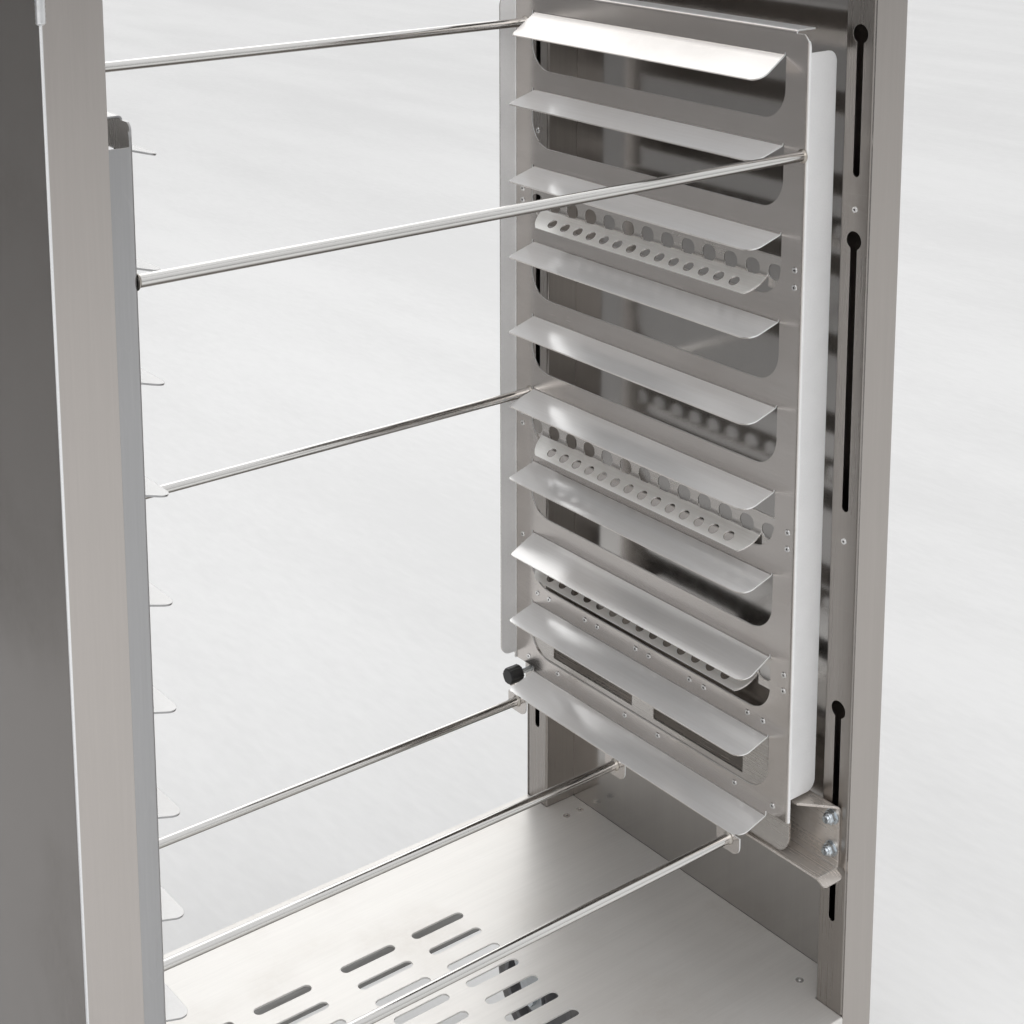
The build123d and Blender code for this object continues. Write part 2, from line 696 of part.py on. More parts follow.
# Uprights: channels inside the walls' front and rear edges, slotted for the rails
channel_path = [
    (wall_in, y_front + upright_depth),
    (web_x, y_front + upright_depth),
    (web_x, y_front + wall_sheet),
    (wall_in - wall_bend, y_front + wall_sheet),
]
channel_section = sheet_profile(channel_path, [upright_bend] * 2, upright_sheet, Side.LEFT)
with BuildPart() as upright_front_right:
    with BuildSketch(Plane.XY.offset(wall_bottom + wall_sheet + wall_bend)):
        add(channel_section)
    extrude(amount=wall_top - wall_bottom - 2 * (wall_sheet + wall_bend))
    with BuildSketch(Plane.YZ.offset(web_x)):
        for slot_end, slot_head in keyholes.values():
            with Locations((upright_y, shelf_top + slot_head)):
                Circle(keyhole_head / 2)
                Rectangle(keyhole_slot, slot_head - slot_end - keyhole_slot / 2, align=(Align.CENTER, Align.MAX))
            with Locations((upright_y, shelf_top + slot_end + keyhole_slot / 2)):
                Circle(keyhole_slot / 2)
        with Locations(*[(upright_y, shelf_top + rise) for rise in web_rivets]):
            Circle(rivet_shank / 2)
    extrude(amount=upright_sheet, mode=Mode.SUBTRACT)
    with BuildSketch(Plane.XZ.offset(-y_front - wall_sheet)):
        with Locations(*handle_bolt_spots):
            Circle(handle_bolt / 2)
    extrude(amount=-upright_sheet, mode=Mode.SUBTRACT)
with BuildPart() as upright_rear_right:
    add(upright_front_right.part)
    mirror(about=Plane.XZ.offset(-y_middle), mode=Mode.REPLACE)
upright_front_left = mirrored(upright_front_right)
upright_rear_left = mirrored(upright_rear_right)
write(upright_front_right, "upright_front_right")
write(upright_rear_right, "upright_rear_right")
write(upright_front_left, "upright_front_left")
write(upright_rear_left, "upright_rear_left")

with BuildPart() as web_rivet_set:
    web_spots = [(bolt_y, shelf_top + rise) for bolt_y in bolt_ys for rise in web_rivets]
    with BuildSketch(Plane.YZ.offset(web_x)):
        with Locations(*web_spots):
            Circle(rivet_head / 2)
    extrude(amount=-rivet_head_height, taper=30)
    with BuildSketch(Plane.YZ.offset(web_x)):
        with Locations(*web_spots):
            Circle(rivet_shank / 2)
    extrude(amount=upright_sheet)
    with BuildSketch(Plane.YZ.offset(web_x + upright_sheet)):
        with Locations(*web_spots):
            Circle(rivet_head / 2)
    extrude(amount=rivet_head_height)
    with BuildSketch(Plane.YZ.offset(web_x - rivet_head_height)):
        with Locations(*web_spots):
            Circle(rivet_hole / 2)
    extrude(amount=2 * rivet_head_height, mode=Mode.SUBTRACT)
    mirror(about=Plane.YZ)
write(web_rivet_set, "upright_rivets")

# Base shelf with its vent slots and turned-down skirts
front_screw_y = y_front + base_screw_y
rear_screw_y = y_rear - base_screw_y
base_screw_spots = []
for side in (-1, 1):
    base_screw_spots.append((side * (web_x + inner_screw_inset), front_screw_y))
    base_screw_spots.append((side * (web_x + inner_screw_inset), rear_screw_y))
    base_screw_spots.append((side * (web_x + outer_screw_inset), rear_screw_y))
# The screws' heads are cones that end flush with the shelf
head_slope = degrees(atan2((base_screw_head - base_screw_diameter) / 2, shelf_sheet))
with BuildPart() as base_shelf:
    with BuildSketch(Plane.XY.offset(shelf_top)):
        with Locations((0, y_middle)):
            Rectangle(2 * (web_x - shelf_gap), trolley_depth)
            Rectangle(2 * (wall_in - shelf_gap), trolley_depth - 2 * (upright_depth + shelf_gap))
    extrude(amount=-shelf_sheet)
    for skirt_y, inward in ((y_front, 1), (y_rear, -1)):
        with BuildSketch(Plane.XY.offset(shelf_top)):
            with Locations((0, skirt_y + inward * shelf_sheet / 2)):
                Rectangle(2 * (web_x - shelf_gap), shelf_sheet)
        extrude(amount=-shelf_skirt)
    top_edges = base_shelf.edges().filter_by(Axis.X).group_by(Axis.Z)[-1]
    fillet(top_edges.sort_by(Axis.Y)[0], radius=shelf_sheet)
    top_edges = base_shelf.edges().filter_by(Axis.X).group_by(Axis.Z)[-1]
    fillet(top_edges.sort_by(Axis.Y)[-1], radius=shelf_sheet)
    with BuildSketch(Plane.XY.offset(shelf_top)):
        for vent_x in (-vent_outer, -vent_inner, vent_inner, vent_outer):
            with Locations((vent_x, y_middle)):
                with GridLocations(1, vent_pitch, 1, vent_rows):
                    SlotOverall(vent_length, vent_width)
    extrude(amount=-shelf_sheet, mode=Mode.SUBTRACT)
    with BuildSketch(Plane.XY.offset(shelf_top)):
        with Locations(*base_screw_spots):
            Circle(base_screw_head / 2)
    extrude(amount=-shelf_sheet, taper=head_slope, mode=Mode.SUBTRACT)
write(base_shelf, "base_shelf")

# Base beams under the shelf, with the castor bolt holes
beam_z = castor_height
beam_top = beam_z + beam_height
beam_length = 2 * (wall_in - wall_bend)
beam_ys = {
    "front": y_front + upright_depth + beam_gap + beam_width / 2,
    "rear": y_rear - upright_depth - beam_gap - beam_width / 2,
}
castor_x = web_x - castor_inset_x
castor_bolt_steps = [(sx * castor_bolt_x / 2, sy * castor_bolt_y / 2) for sx in (-1, 1) for sy in (-1, 1)]
for end, beam_y in beam_ys.items():
    with BuildPart() as base_beam:
        with BuildSketch(Plane.YZ.offset(-beam_length / 2)):
            with Locations((beam_y, beam_z + beam_height / 2)):
                RectangleRounded(beam_width, beam_height, 2 * beam_sheet)
                RectangleRounded(
                    beam_width - 2 * beam_sheet, beam_height - 2 * beam_sheet, beam_sheet, mode=Mode.SUBTRACT
                )
        extrude(amount=beam_length)
        with BuildSketch(Plane.XY.offset(beam_z)):
            with Locations((-castor_x, beam_y), (castor_x, beam_y)):
                with Locations(*castor_bolt_steps):
                    Circle(castor_bolt / 2)
        extrude(amount=beam_sheet, mode=Mode.SUBTRACT)
        with BuildSketch(Plane.XY.offset(beam_top)):
            with Locations(*base_screw_spots):
                Circle(base_screw_diameter / 2)
        extrude(amount=-beam_sheet, mode=Mode.SUBTRACT)
    write(base_beam, f"base_beam_{end}")

with BuildPart() as base_screws:
    with BuildSketch(Plane.XY.offset(shelf_top)):
        with Locations(*base_screw_spots):
            Circle(base_screw_head / 2)
    extrude(amount=-shelf_sheet, taper=head_slope)
    with BuildSketch(Plane.XY.offset(shelf_top)):
        with Locations(*base_screw_spots):
            Circle(base_screw_diameter / 2)
    extrude(amount=-shelf_sheet - beam_sheet - 3.0)
    with BuildSketch(Plane.XY.offset(shelf_top)):
        with Locations(*base_screw_spots):
            RegularPolygon(base_screw_socket / 2, 6, major_radius=False)
    extrude(amount=-shelf_sheet, mode=Mode.SUBTRACT)
write(base_screws, "base_screws")

# Push handle: a bent tube on two plates bolted to the walls' front faces
tube_front = y_front - handle_reach
handle_path = [
    (-handle_x, y_front - handle_plate),
    (-handle_x, tube_front),
    (handle_x, tube_front),
    (handle_x, y_front - handle_plate),
]
with BuildPart() as push_handle:
    with BuildLine(Plane.XY.offset(handle_z)) as handle_line:
        FilletPolyline(*handle_path, radius=handle_bend)
    with BuildSketch(Plane.XZ.offset(-y_front + handle_plate)):
        with Locations((-handle_x, handle_z)):
            Circle(handle_tube / 2)
            Circle(handle_tube / 2 - handle_wall, mode=Mode.SUBTRACT)
    sweep(path=handle_line.wire())
    with BuildSketch(Plane.XZ.offset(-y_front)):
        with Locations((-handle_x, handle_z), (handle_x, handle_z)):
            RectangleRounded(handle_plate_width, handle_plate_height, 4.0)
            with Locations((0, -handle_bolt_spread / 2), (0, handle_bolt_spread / 2)):
                Circle(handle_bolt / 2, mode=Mode.SUBTRACT)
    extrude(amount=handle_plate)
write(push_handle, "push_handle")

with BuildPart() as handle_bolts:
    with BuildSketch(Plane.XZ.offset(-y_front + handle_plate)):
        with Locations(*handle_bolt_spots):
            Circle(handle_bolt * 0.9)
    extrude(amount=3.2, taper=20)
    with BuildSketch(Plane.XZ.offset(-y_front + handle_plate)):
        with Locations(*handle_bolt_spots):
            Circle(handle_bolt / 2)
    extrude(amount=-handle_plate - wall_sheet - upright_sheet - 8.0)
    with BuildSketch(Plane.XZ.offset(-y_front - wall_sheet - upright_sheet)):
        with Locations(*handle_bolt_spots):
            RegularPolygon(nut_across / 2, 6, major_radius=False)
    extrude(amount=-nut_height)
    mirror(about=Plane.YZ)
write(handle_bolts, "handle_bolts")


# Castors

castor_spots = {
    "front_left": (-castor_x, beam_ys["front"]),
    "front_right": (castor_x, beam_ys["front"]),
    "rear_left": (-castor_x, beam_ys["rear"]),
    "rear_right": (castor_x, beam_ys["rear"]),
}
plate_z = castor_height - castor_plate_sheet
head_z = plate_z - swivel_height
crown_top = head_z - washer_gap
crown_z = crown_top - crown_thickness
pin_head = 3.0
axle_z = wheel_diameter / 2
leg_x = hub_length / 2 + fork_gap
pedal_y = -swivel_diameter / 2 - 8.0
pedal_z = crown_z - 6.0

with BuildPart() as castor_plates:
    for spot in castor_spots.values():
        with BuildSketch(Plane.XY.offset(castor_height)):
            with Locations(spot):
                RectangleRounded(castor_plate_length, castor_plate_width, 8.0)
                with Locations(*castor_bolt_steps):
                    Circle(castor_bolt / 2, mode=Mode.SUBTRACT)
        extrude(amount=-castor_plate_sheet)
        with BuildSketch(Plane.XY.offset(plate_z)):
            with Locations(spot):
                Circle(swivel_diameter / 2)
        extrude(amount=-swivel_height)
        with BuildSketch(Plane.XY.offset(head_z)):
            with Locations(spot):
                Circle(king_pin / 2)
        extrude(amount=-2 * washer_gap - crown_thickness)
        with BuildSketch(Plane.XY.offset(crown_z - washer_gap)):
            with Locations(spot):
                Circle(king_pin * 0.85)
        extrude(amount=-pin_head)
write(castor_plates, "castor_plates")

with BuildPart() as castor_bolts:
    for spot in castor_spots.values():
        with BuildSketch(Plane.XY.offset(plate_z)):
            with Locations(spot):
                with Locations(*castor_bolt_steps):
                    RegularPolygon(6.5, 6, major_radius=False)
        extrude(amount=-5.0)
        with BuildSketch(Plane.XY.offset(plate_z)):
            with Locations(spot):
                with Locations(*castor_bolt_steps):
                    Circle(castor_bolt / 2)
        extrude(amount=castor_plate_sheet + beam_sheet + 9.0)
        with BuildSketch(Plane.XY.offset(castor_height + beam_sheet)):
            with Locations(spot):
                with Locations(*castor_bolt_steps):
                    RegularPolygon(6.5, 6, major_radius=False)
        extrude(amount=6.5)
write(castor_bolts, "castor_bolts")

with BuildPart() as fork:
    with BuildSketch(Plane.XY.offset(crown_z)):
        Circle(swivel_diameter / 2)
        with Locations((0, -swivel_diameter / 4)):
            Rectangle(2 * (leg_x + fork_sheet), swivel_diameter * 0.9)
        Circle(king_pin / 2 + running_gap, mode=Mode.SUBTRACT)
    extrude(amount=crown_thickness)
    with BuildSketch(Plane.YZ.offset(leg_x)):
        with BuildLine():
            Polyline(
                (-swivel_diameter * 0.7, crown_top),
                (swivel_diameter * 0.2, crown_top),
                (swivel_diameter * 0.2, crown_z - 6.0),
                (-wheel_trail + 13.0, axle_z - 6.0),
                (-wheel_trail - 13.0, axle_z - 6.0),
                (-swivel_diameter * 0.7 - 12.0, crown_z - 14.0),
                (-swivel_diameter * 0.7 - 12.0, crown_z),
                close=True,
            )
        make_face()
        with Locations((-wheel_trail, axle_z)):
            Circle(14.0)
            Circle(axle_diameter / 2 + running_gap, mode=Mode.SUBTRACT)
        with Locations((pedal_y, pedal_z)):
            Circle(pedal_pin / 2 + running_gap, mode=Mode.SUBTRACT)
    extrude(amount=fork_sheet)
    mirror(about=Plane.YZ)
with BuildPart() as axle:
    with BuildSketch(Plane.YZ.offset(-leg_x - fork_sheet)):
        with Locations((-wheel_trail, axle_z)):
            Circle(axle_diameter / 2)
    extrude(amount=2 * (leg_x + fork_sheet))
    for side in (-1, 1):
        with BuildSketch(Plane.YZ.offset(side * (leg_x + fork_sheet))):
            with Locations((-wheel_trail, axle_z)):
                RegularPolygon(6.5, 6, major_radius=False)
        extrude(amount=side * 5.0)
with BuildPart() as hub:
    with BuildSketch(Plane.YZ.offset(-wheel_width / 2)):
        with Locations((-wheel_trail, axle_z)):
            Circle(wheel_diameter / 2 - tyre_thickness)
            Circle(hub_diameter / 2, mode=Mode.SUBTRACT)
    extrude(amount=wheel_width)
    for side in (-1, 1):
        with BuildSketch(Plane.YZ.offset(side * wheel_width / 2)):
            with Locations((-wheel_trail, axle_z)):
                Circle(wheel_diameter / 2 - tyre_thickness - 5.0)
                Circle(hub_diameter / 2, mode=Mode.SUBTRACT)
        extrude(amount=-side * wheel_width * 0.3, mode=Mode.SUBTRACT)
    with BuildSketch(Plane.YZ.offset(-hub_length / 2)):
        with Locations((-wheel_trail, axle_z)):
            Circle(hub_diameter / 2)
    extrude(amount=hub_length)
    with BuildSketch(Plane.YZ.offset(-hub_length / 2)):
        with Locations((-wheel_trail, axle_z)):
            Circle(axle_diameter / 2 + running_gap)
    extrude(amount=hub_length, mode=Mode.SUBTRACT)
with BuildPart() as tyre:
    with BuildSketch(Plane.YZ.offset(-wheel_width / 2)):
        with Locations((-wheel_trail, axle_z)):
            Circle(wheel_diameter / 2)
            Circle(wheel_diameter / 2 - tyre_thickness, mode=Mode.SUBTRACT)
    extrude(amount=wheel_width)
    rims = tyre.edges().filter_by(GeomType.CIRCLE).group_by(SortBy.RADIUS)[-1]
    fillet(rims, radius=6.0)
with BuildPart() as pedal:
    with BuildSketch(Plane.YZ.offset(-pedal_width / 2)):
        with BuildLine():
            Polyline(
                (pedal_y, pedal_z + pedal_pin / 2),
                (pedal_y - pedal_length, pedal_z + pedal_pin / 2 - 2.0),
                (pedal_y - pedal_length, pedal_z + pedal_pin / 2 - 2.0 - pedal_sheet),
                (pedal_y, pedal_z - pedal_pin / 2),
                close=True,
            )
        make_face()
    extrude(amount=pedal_width)
    with BuildSketch(Plane.YZ.offset(-leg_x - fork_sheet)):
        with Locations((pedal_y, pedal_z)):
            Circle(pedal_pin / 2)
    extrude(amount=2 * (leg_x + fork_sheet))

castor_pieces = {"castor_fork": fork, "castor_axle": axle, "castor_hub": hub, "castor_tyre": tyre}
for place, (spot_x, spot_y) in castor_spots.items():
    pieces = dict(castor_pieces)
    if place.startswith("front"):
        pieces["brake_pedal"] = pedal
    for piece_name, piece in pieces.items():
        with BuildPart() as placed:
            with Locations((spot_x, spot_y, 0)):
                add(piece.part)
        write(placed, f"{piece_name}_{place}")
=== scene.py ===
"""Looks of an oven rack trolley: brushed stainless sheet, polished rods, zinc fasteners, grey castors.

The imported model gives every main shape. This script dresses its nodes, adds the small pieces that the
solids leave plain, and sets a pale studio round them.
"""

import logging
import math
from dataclasses import dataclass, field, replace
from enum import Enum
from typing import Iterable

import bmesh
import bpy
from mathutils import Matrix, Vector


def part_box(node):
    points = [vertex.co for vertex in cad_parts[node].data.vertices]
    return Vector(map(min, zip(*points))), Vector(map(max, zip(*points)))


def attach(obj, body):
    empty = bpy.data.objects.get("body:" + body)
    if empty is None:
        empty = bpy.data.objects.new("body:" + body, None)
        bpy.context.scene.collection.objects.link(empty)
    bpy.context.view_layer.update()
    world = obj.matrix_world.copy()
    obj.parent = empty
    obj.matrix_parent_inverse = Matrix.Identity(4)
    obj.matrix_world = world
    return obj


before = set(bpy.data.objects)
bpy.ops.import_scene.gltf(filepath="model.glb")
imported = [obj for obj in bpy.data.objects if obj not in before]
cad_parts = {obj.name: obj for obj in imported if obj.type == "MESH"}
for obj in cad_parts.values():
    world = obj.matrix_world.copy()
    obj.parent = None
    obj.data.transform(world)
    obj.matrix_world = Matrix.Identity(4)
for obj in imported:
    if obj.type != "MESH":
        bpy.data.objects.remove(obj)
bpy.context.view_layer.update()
LOG = logging.getLogger("oven_rack_trolley")

MM = 0.001
Colour = tuple[float, float, float]
Point = tuple[float, float, float]


class Grain(Enum):
    """Direction in which a sheet was brushed, as how often the grain repeats per metre along X, Y and Z."""

    UPRIGHT = (700.0, 700.0, 16.0)
    ALONG_DEPTH = (700.0, 16.0, 700.0)
    ALONG_WIDTH = (16.0, 700.0, 700.0)
    ROUND = (260.0, 260.0, 260.0)


class NodeTree:
    """A node tree with short calls for adding nodes and joining them."""

    def __init__(self, tree: bpy.types.NodeTree) -> None:
        """Take the tree that the nodes go into.

        Args:
            tree: The tree of a material, a world or a node group.
        """
        self.tree = tree

    def add(self, kind: str, **settings: object) -> bpy.types.Node:
        """Add a node.

        Args:
            kind: Blender's name for the node's type, without its leading word ShaderNode where it has it.
            settings: Properties set on the node.

        Returns:
            The new node.
        """
        name = kind if kind.startswith("NodeGroup") else f"ShaderNode{kind}"
        node = self.tree.nodes.new(name)
        for key, value in settings.items():
            setattr(node, key, value)
        return node

    def join(self, source: bpy.types.NodeSocket, target: bpy.types.NodeSocket) -> None:
        """Link an output to an input."""
        self.tree.links.new(source, target)

    def feed(self, target: bpy.types.NodeSocket, value: object) -> None:
        """Link a socket to an input, or set the input to a plain value.

        Args:
            target: The input.
            value: A socket, or a number, colour or vector.
        """
        if isinstance(value, bpy.types.NodeSocket):
            self.join(value, target)
        else:
            target.default_value = value

    def maths(self, operation: str, first: object, second: object = 0.0) -> bpy.types.NodeSocket:
        """Work out one number from two.

        Args:
            operation: The Math node's operation.
            first: The first socket or number.
            second: The second socket or number.

        Returns:
            The result.
        """
        node = self.add("Math", operation=operation)
        self.feed(node.inputs[0], first)
        self.feed(node.inputs[1], second)
        return node.outputs[0]

    def blend(self, factor: object, first: object, second: object) -> bpy.types.NodeSocket:
        """Mix two colours.

        Args:
            factor: How much of the second colour shows, from 0 to 1.
            first: A colour or its socket.
            second: A colour or its socket.

        Returns:
            The mixed colour.
        """
        node = self.add("Mix", data_type="RGBA")
        self.feed(node.inputs["Factor"], factor)
        self.feed(node.inputs[6], first)
        self.feed(node.inputs[7], second)
        return node.outputs[2]

    def spread(self, value: bpy.types.NodeSocket, low: float, high: float, start: object, end: object) \
            -> bpy.types.NodeSocket:
        """Map a range of values smoothly onto another.

        Args:
            value: The value to map.
            low: Where the range starts.
            high: Where the range ends.
            start: What low becomes.
            end: What high becomes.

        Returns:
            The mapped value.
        """
        node = self.add("MapRange", interpolation_type="SMOOTHSTEP")
        self.feed(node.inputs["Value"], value)
        self.feed(node.inputs["From Min"], low)
        self.feed(node.inputs["From Max"], high)
        self.feed(node.inputs["To Min"], start)
        self.feed(node.inputs["To Max"], end)
        return node.outputs["Result"]

    def noise(self, place: bpy.types.NodeSocket, scale: object, detail: float, roughness: float = 0.5) \
            -> bpy.types.NodeSocket:
        """Add a noise texture.

        Args:
            place: Where on the surface the noise is read.
            scale: How often it repeats per unit of place.
            detail: How many finer layers it has.
            roughness: How strong the finer layers are.

        Returns:
            The noise's value.
        """
        node = self.add("TexNoise")
        self.join(place, node.inputs["Vector"])
        self.feed(node.inputs["Scale"], scale)
        node.inputs["Detail"].default_value = detail
        node.inputs["Roughness"].default_value = roughness
        return node.outputs["Fac"]


class SurfaceGroups:
    """Node groups that several finishes share: brushing, smudges, rounded edges for painted highlights and
    wear, scratches and inner sides.
    """

    def __init__(self) -> None:
        """Build each group once."""
        self.brushing = self._brushing()
        self.smudges = self._smudges()
        self.edges = self._edges()
        self.scratches = self._scratches()
        self.inner_side = self._inner_side()
        self.facing_side = self._facing_side()

    @staticmethod
    def _start(name: str, inputs: dict[str, tuple[str, object]], outputs: Iterable[str]) \
            -> tuple[NodeTree, bpy.types.Node, bpy.types.Node]:
        """Make an empty group with its sockets.

        Args:
            name: The group's name.
            inputs: Socket name to its type and value.
            outputs: Names of the outputs, which are single values unless the name is Normal.

        Returns:
            The tree, the group's input node and its output node.
        """
        tree = bpy.data.node_groups.new(name, "ShaderNodeTree")
        for label, (kind, value) in inputs.items():
            socket = tree.interface.new_socket(label, in_out="INPUT", socket_type=f"NodeSocket{kind}")
            socket.default_value = value
        for label in outputs:
            kind = "Vector" if label == "Normal" else "Float"
            tree.interface.new_socket(label, in_out="OUTPUT", socket_type=f"NodeSocket{kind}")
        nodes = NodeTree(tree)
        return nodes, nodes.add("NodeGroupInput"), nodes.add("NodeGroupOutput")

    def _brushing(self) -> bpy.types.NodeTree:
        """Long fine streaks left by the brushing belt, with broader bands in them."""
        sockets = {"Grain": ("Vector", Grain.UPRIGHT.value), "Banding": ("Float", 0.4)}
        nodes, given, result = self._start("brushed_grain", sockets, ["Tone", "Height"])
        place = nodes.add("TexCoord").outputs["Object"]
        stretched = nodes.add("VectorMath", operation="MULTIPLY")
        nodes.join(place, stretched.inputs[0])
        nodes.join(given.outputs["Grain"], stretched.inputs[1])
        fine = nodes.noise(stretched.outputs[0], 1.0, 3.0, 0.65)
        bands = nodes.noise(stretched.outputs[0], 0.09, 2.0, 0.5)
        cloud = nodes.noise(place, 14.0, 3.0, 0.55)
        broad = nodes.maths("ADD", nodes.maths("MULTIPLY", bands, 0.6), nodes.maths("MULTIPLY", cloud, 0.4))
        tone = nodes.add("Mix", data_type="FLOAT")
        nodes.join(given.outputs["Banding"], tone.inputs["Factor"])
        nodes.join(fine, tone.inputs[2])
        nodes.join(broad, tone.inputs[3])
        nodes.join(nodes.spread(tone.outputs[0], 0.3, 0.7, 0.0, 1.0), result.inputs["Tone"])
        nodes.join(fine, result.inputs["Height"])
        return nodes.tree

    def _smudges(self) -> bpy.types.NodeTree:
        """Wiped and handled places: soft patches with finer mottling in them."""
        sockets = {"Size": ("Float", 9.0), "Cover": ("Float", 0.5)}
        nodes, given, result = self._start("wiped_smudges", sockets, ["Mask"])
        place = nodes.add("TexCoord").outputs["Object"]
        patches = nodes.noise(place, given.outputs["Size"], 3.0, 0.6)
        mottling = nodes.noise(place, 190.0, 2.0, 0.6)
        edge = nodes.maths("SUBTRACT", 1.0, given.outputs["Cover"])
        soft = nodes.add("MapRange", interpolation_type="SMOOTHSTEP")
        nodes.join(patches, soft.inputs["Value"])
        nodes.join(nodes.maths("SUBTRACT", edge, 0.12), soft.inputs["From Min"])
        nodes.join(nodes.maths("ADD", edge, 0.16), soft.inputs["From Max"])
        mixed = nodes.maths("MULTIPLY", soft.outputs["Result"], nodes.spread(mottling, 0.3, 0.7, 0.55, 1.0))
        nodes.join(mixed, result.inputs["Mask"])
        return nodes.tree

    def _edges(self) -> bpy.types.NodeTree:
        """Edges that are slightly rounded, with a mask of them for a painted highlight on steel and for wear
        on plastic.
        """
        nodes, given, result = self._start("rounded_edges", {"Width": ("Float", 0.5 * MM)}, ["Mask", "Normal"])
        rounded = nodes.add("Bevel", samples=4)
        nodes.join(given.outputs["Width"], rounded.inputs["Radius"])
        facing = nodes.add("VectorMath", operation="DOT_PRODUCT")
        nodes.join(rounded.outputs["Normal"], facing.inputs[0])
        nodes.join(nodes.add("NewGeometry").outputs["Normal"], facing.inputs[1])
        nodes.join(nodes.spread(facing.outputs["Value"], 0.75, 0.98, 1.0, 0.0), result.inputs["Mask"])
        nodes.join(rounded.outputs["Normal"], result.inputs["Normal"])
        return nodes.tree

    def _scratches(self) -> bpy.types.NodeTree:
        """Fine stray scratches that trays and cloths leave across the grain."""
        sockets = {"Density": ("Float", 60.0), "Cover": ("Float", 0.4)}
        nodes, given, result = self._start("stray_scratches", sockets, ["Mask"])
        place = nodes.add("TexCoord").outputs["Object"]
        masks = []
        for turn, squeeze in ((0.5, (1.0, 0.05, 0.4)), (-0.9, (0.4, 1.0, 0.05))):
            turned = nodes.add("Mapping")
            turned.inputs["Rotation"].default_value = (turn, 0.7 * turn, 1.3 * turn)
            turned.inputs["Scale"].default_value = squeeze
            nodes.join(place, turned.inputs["Vector"])
            lines = nodes.add("TexVoronoi", feature="DISTANCE_TO_EDGE")
            nodes.join(turned.outputs["Vector"], lines.inputs["Vector"])
            nodes.join(given.outputs["Density"], lines.inputs["Scale"])
            masks.append(nodes.spread(lines.outputs["Distance"], 0.0, 0.012, 1.0, 0.0))
        broken = nodes.spread(nodes.noise(place, 22.0, 2.0), 0.5, 0.62, 0.0, 1.0)
        both = nodes.maths("MAXIMUM", masks[0], masks[1])
        kept = nodes.maths("MULTIPLY", nodes.maths("MULTIPLY", both, broken), given.outputs["Cover"])
        nodes.join(kept, result.inputs["Mask"])
        return nodes.tree

    def _inner_side(self) -> bpy.types.NodeTree:
        """The side of a folded sheet that lies inside a box, the same to the left and right."""
        sockets = {"Centre": ("Vector", (0.0, 0.0, 0.0)), "Half": ("Vector", (1.0, 1.0, 1.0))}
        nodes, given, result = self._start("inner_side", sockets, ["Mask"])
        offset = nodes.add("VectorMath", operation="SUBTRACT")
        nodes.join(nodes.add("TexCoord").outputs["Object"], offset.inputs[0])
        nodes.join(given.outputs["Centre"], offset.inputs[1])
        size = nodes.add("VectorMath", operation="ABSOLUTE")
        nodes.join(offset.outputs[0], size.inputs[0])
        room = nodes.add("VectorMath", operation="SUBTRACT")
        nodes.join(given.outputs["Half"], room.inputs[0])
        nodes.join(size.outputs[0], room.inputs[1])
        parts = nodes.add("SeparateXYZ")
        nodes.join(room.outputs[0], parts.inputs[0])
        across = nodes.maths("MINIMUM", parts.outputs["X"], parts.outputs["Y"])
        least = nodes.maths("MINIMUM", across, parts.outputs["Z"])
        nodes.join(nodes.maths("GREATER_THAN", least, 0.0), result.inputs["Mask"])
        return nodes.tree

    def _facing_side(self) -> bpy.types.NodeTree:
        """The faces of a part that look one way in the trolley's frame."""
        sockets = {"Way": ("Vector", (0.0, 0.0, 1.0)), "Start": ("Float", 0.55), "Full": ("Float", 0.85)}
        nodes, given, result = self._start("facing_side", sockets, ["Mask"])
        facing = nodes.add("VectorMath", operation="DOT_PRODUCT")
        nodes.join(nodes.add("TexCoord").outputs["Normal"], facing.inputs[0])
        nodes.join(given.outputs["Way"], facing.inputs[1])
        start, full = given.outputs["Start"], given.outputs["Full"]
        nodes.join(nodes.spread(facing.outputs["Value"], start, full, 0.0, 1.0), result.inputs["Mask"])
        return nodes.tree


@dataclass(frozen=True)
class Lining:
    """The inner side of a folded sheet, which kept its mill polish.

    Attributes:
        steel: Its colour.
        roughness: How dull it is.
        node: The right-hand node that shows how far the sheet reaches.
        sheet: The sheet's thickness in metres.
    """

    steel: Colour
    roughness: float
    node: str = "side_wall_right"
    sheet: float = 1.2 * MM

    def reach(self) -> tuple[Point, Point]:
        """Find the box that holds the inner side on both walls.

        Returns:
            The box's centre and half its size.
        """
        low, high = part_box(self.node)
        skin = self.sheet / 2
        centre = (0.0, (low[1] + high[1]) / 2, (low[2] + high[2]) / 2)
        half = (high[0] - skin, (high[1] - low[1]) / 2 - skin, (high[2] - low[2]) / 2 - skin)
        return centre, half


@dataclass(frozen=True)
class Side:
    """Faces that look one way, with their own roughness and a colour that is mostly painted light or shade
    for that direction.

    Attributes:
        way: Where they look, as a unit vector.
        steel: Their colour, mostly painted light or shade for the way they face.
        roughness: How dull they are.
        matt: How much of them scatters light like a matt surface.
        start: Cosine of the angle to the way at which they begin.
        full: Cosine of the angle to the way from which they are fully there.
    """

    way: Point
    steel: Colour
    roughness: float
    matt: float = 0.0
    start: float = 0.55
    full: float = 0.85


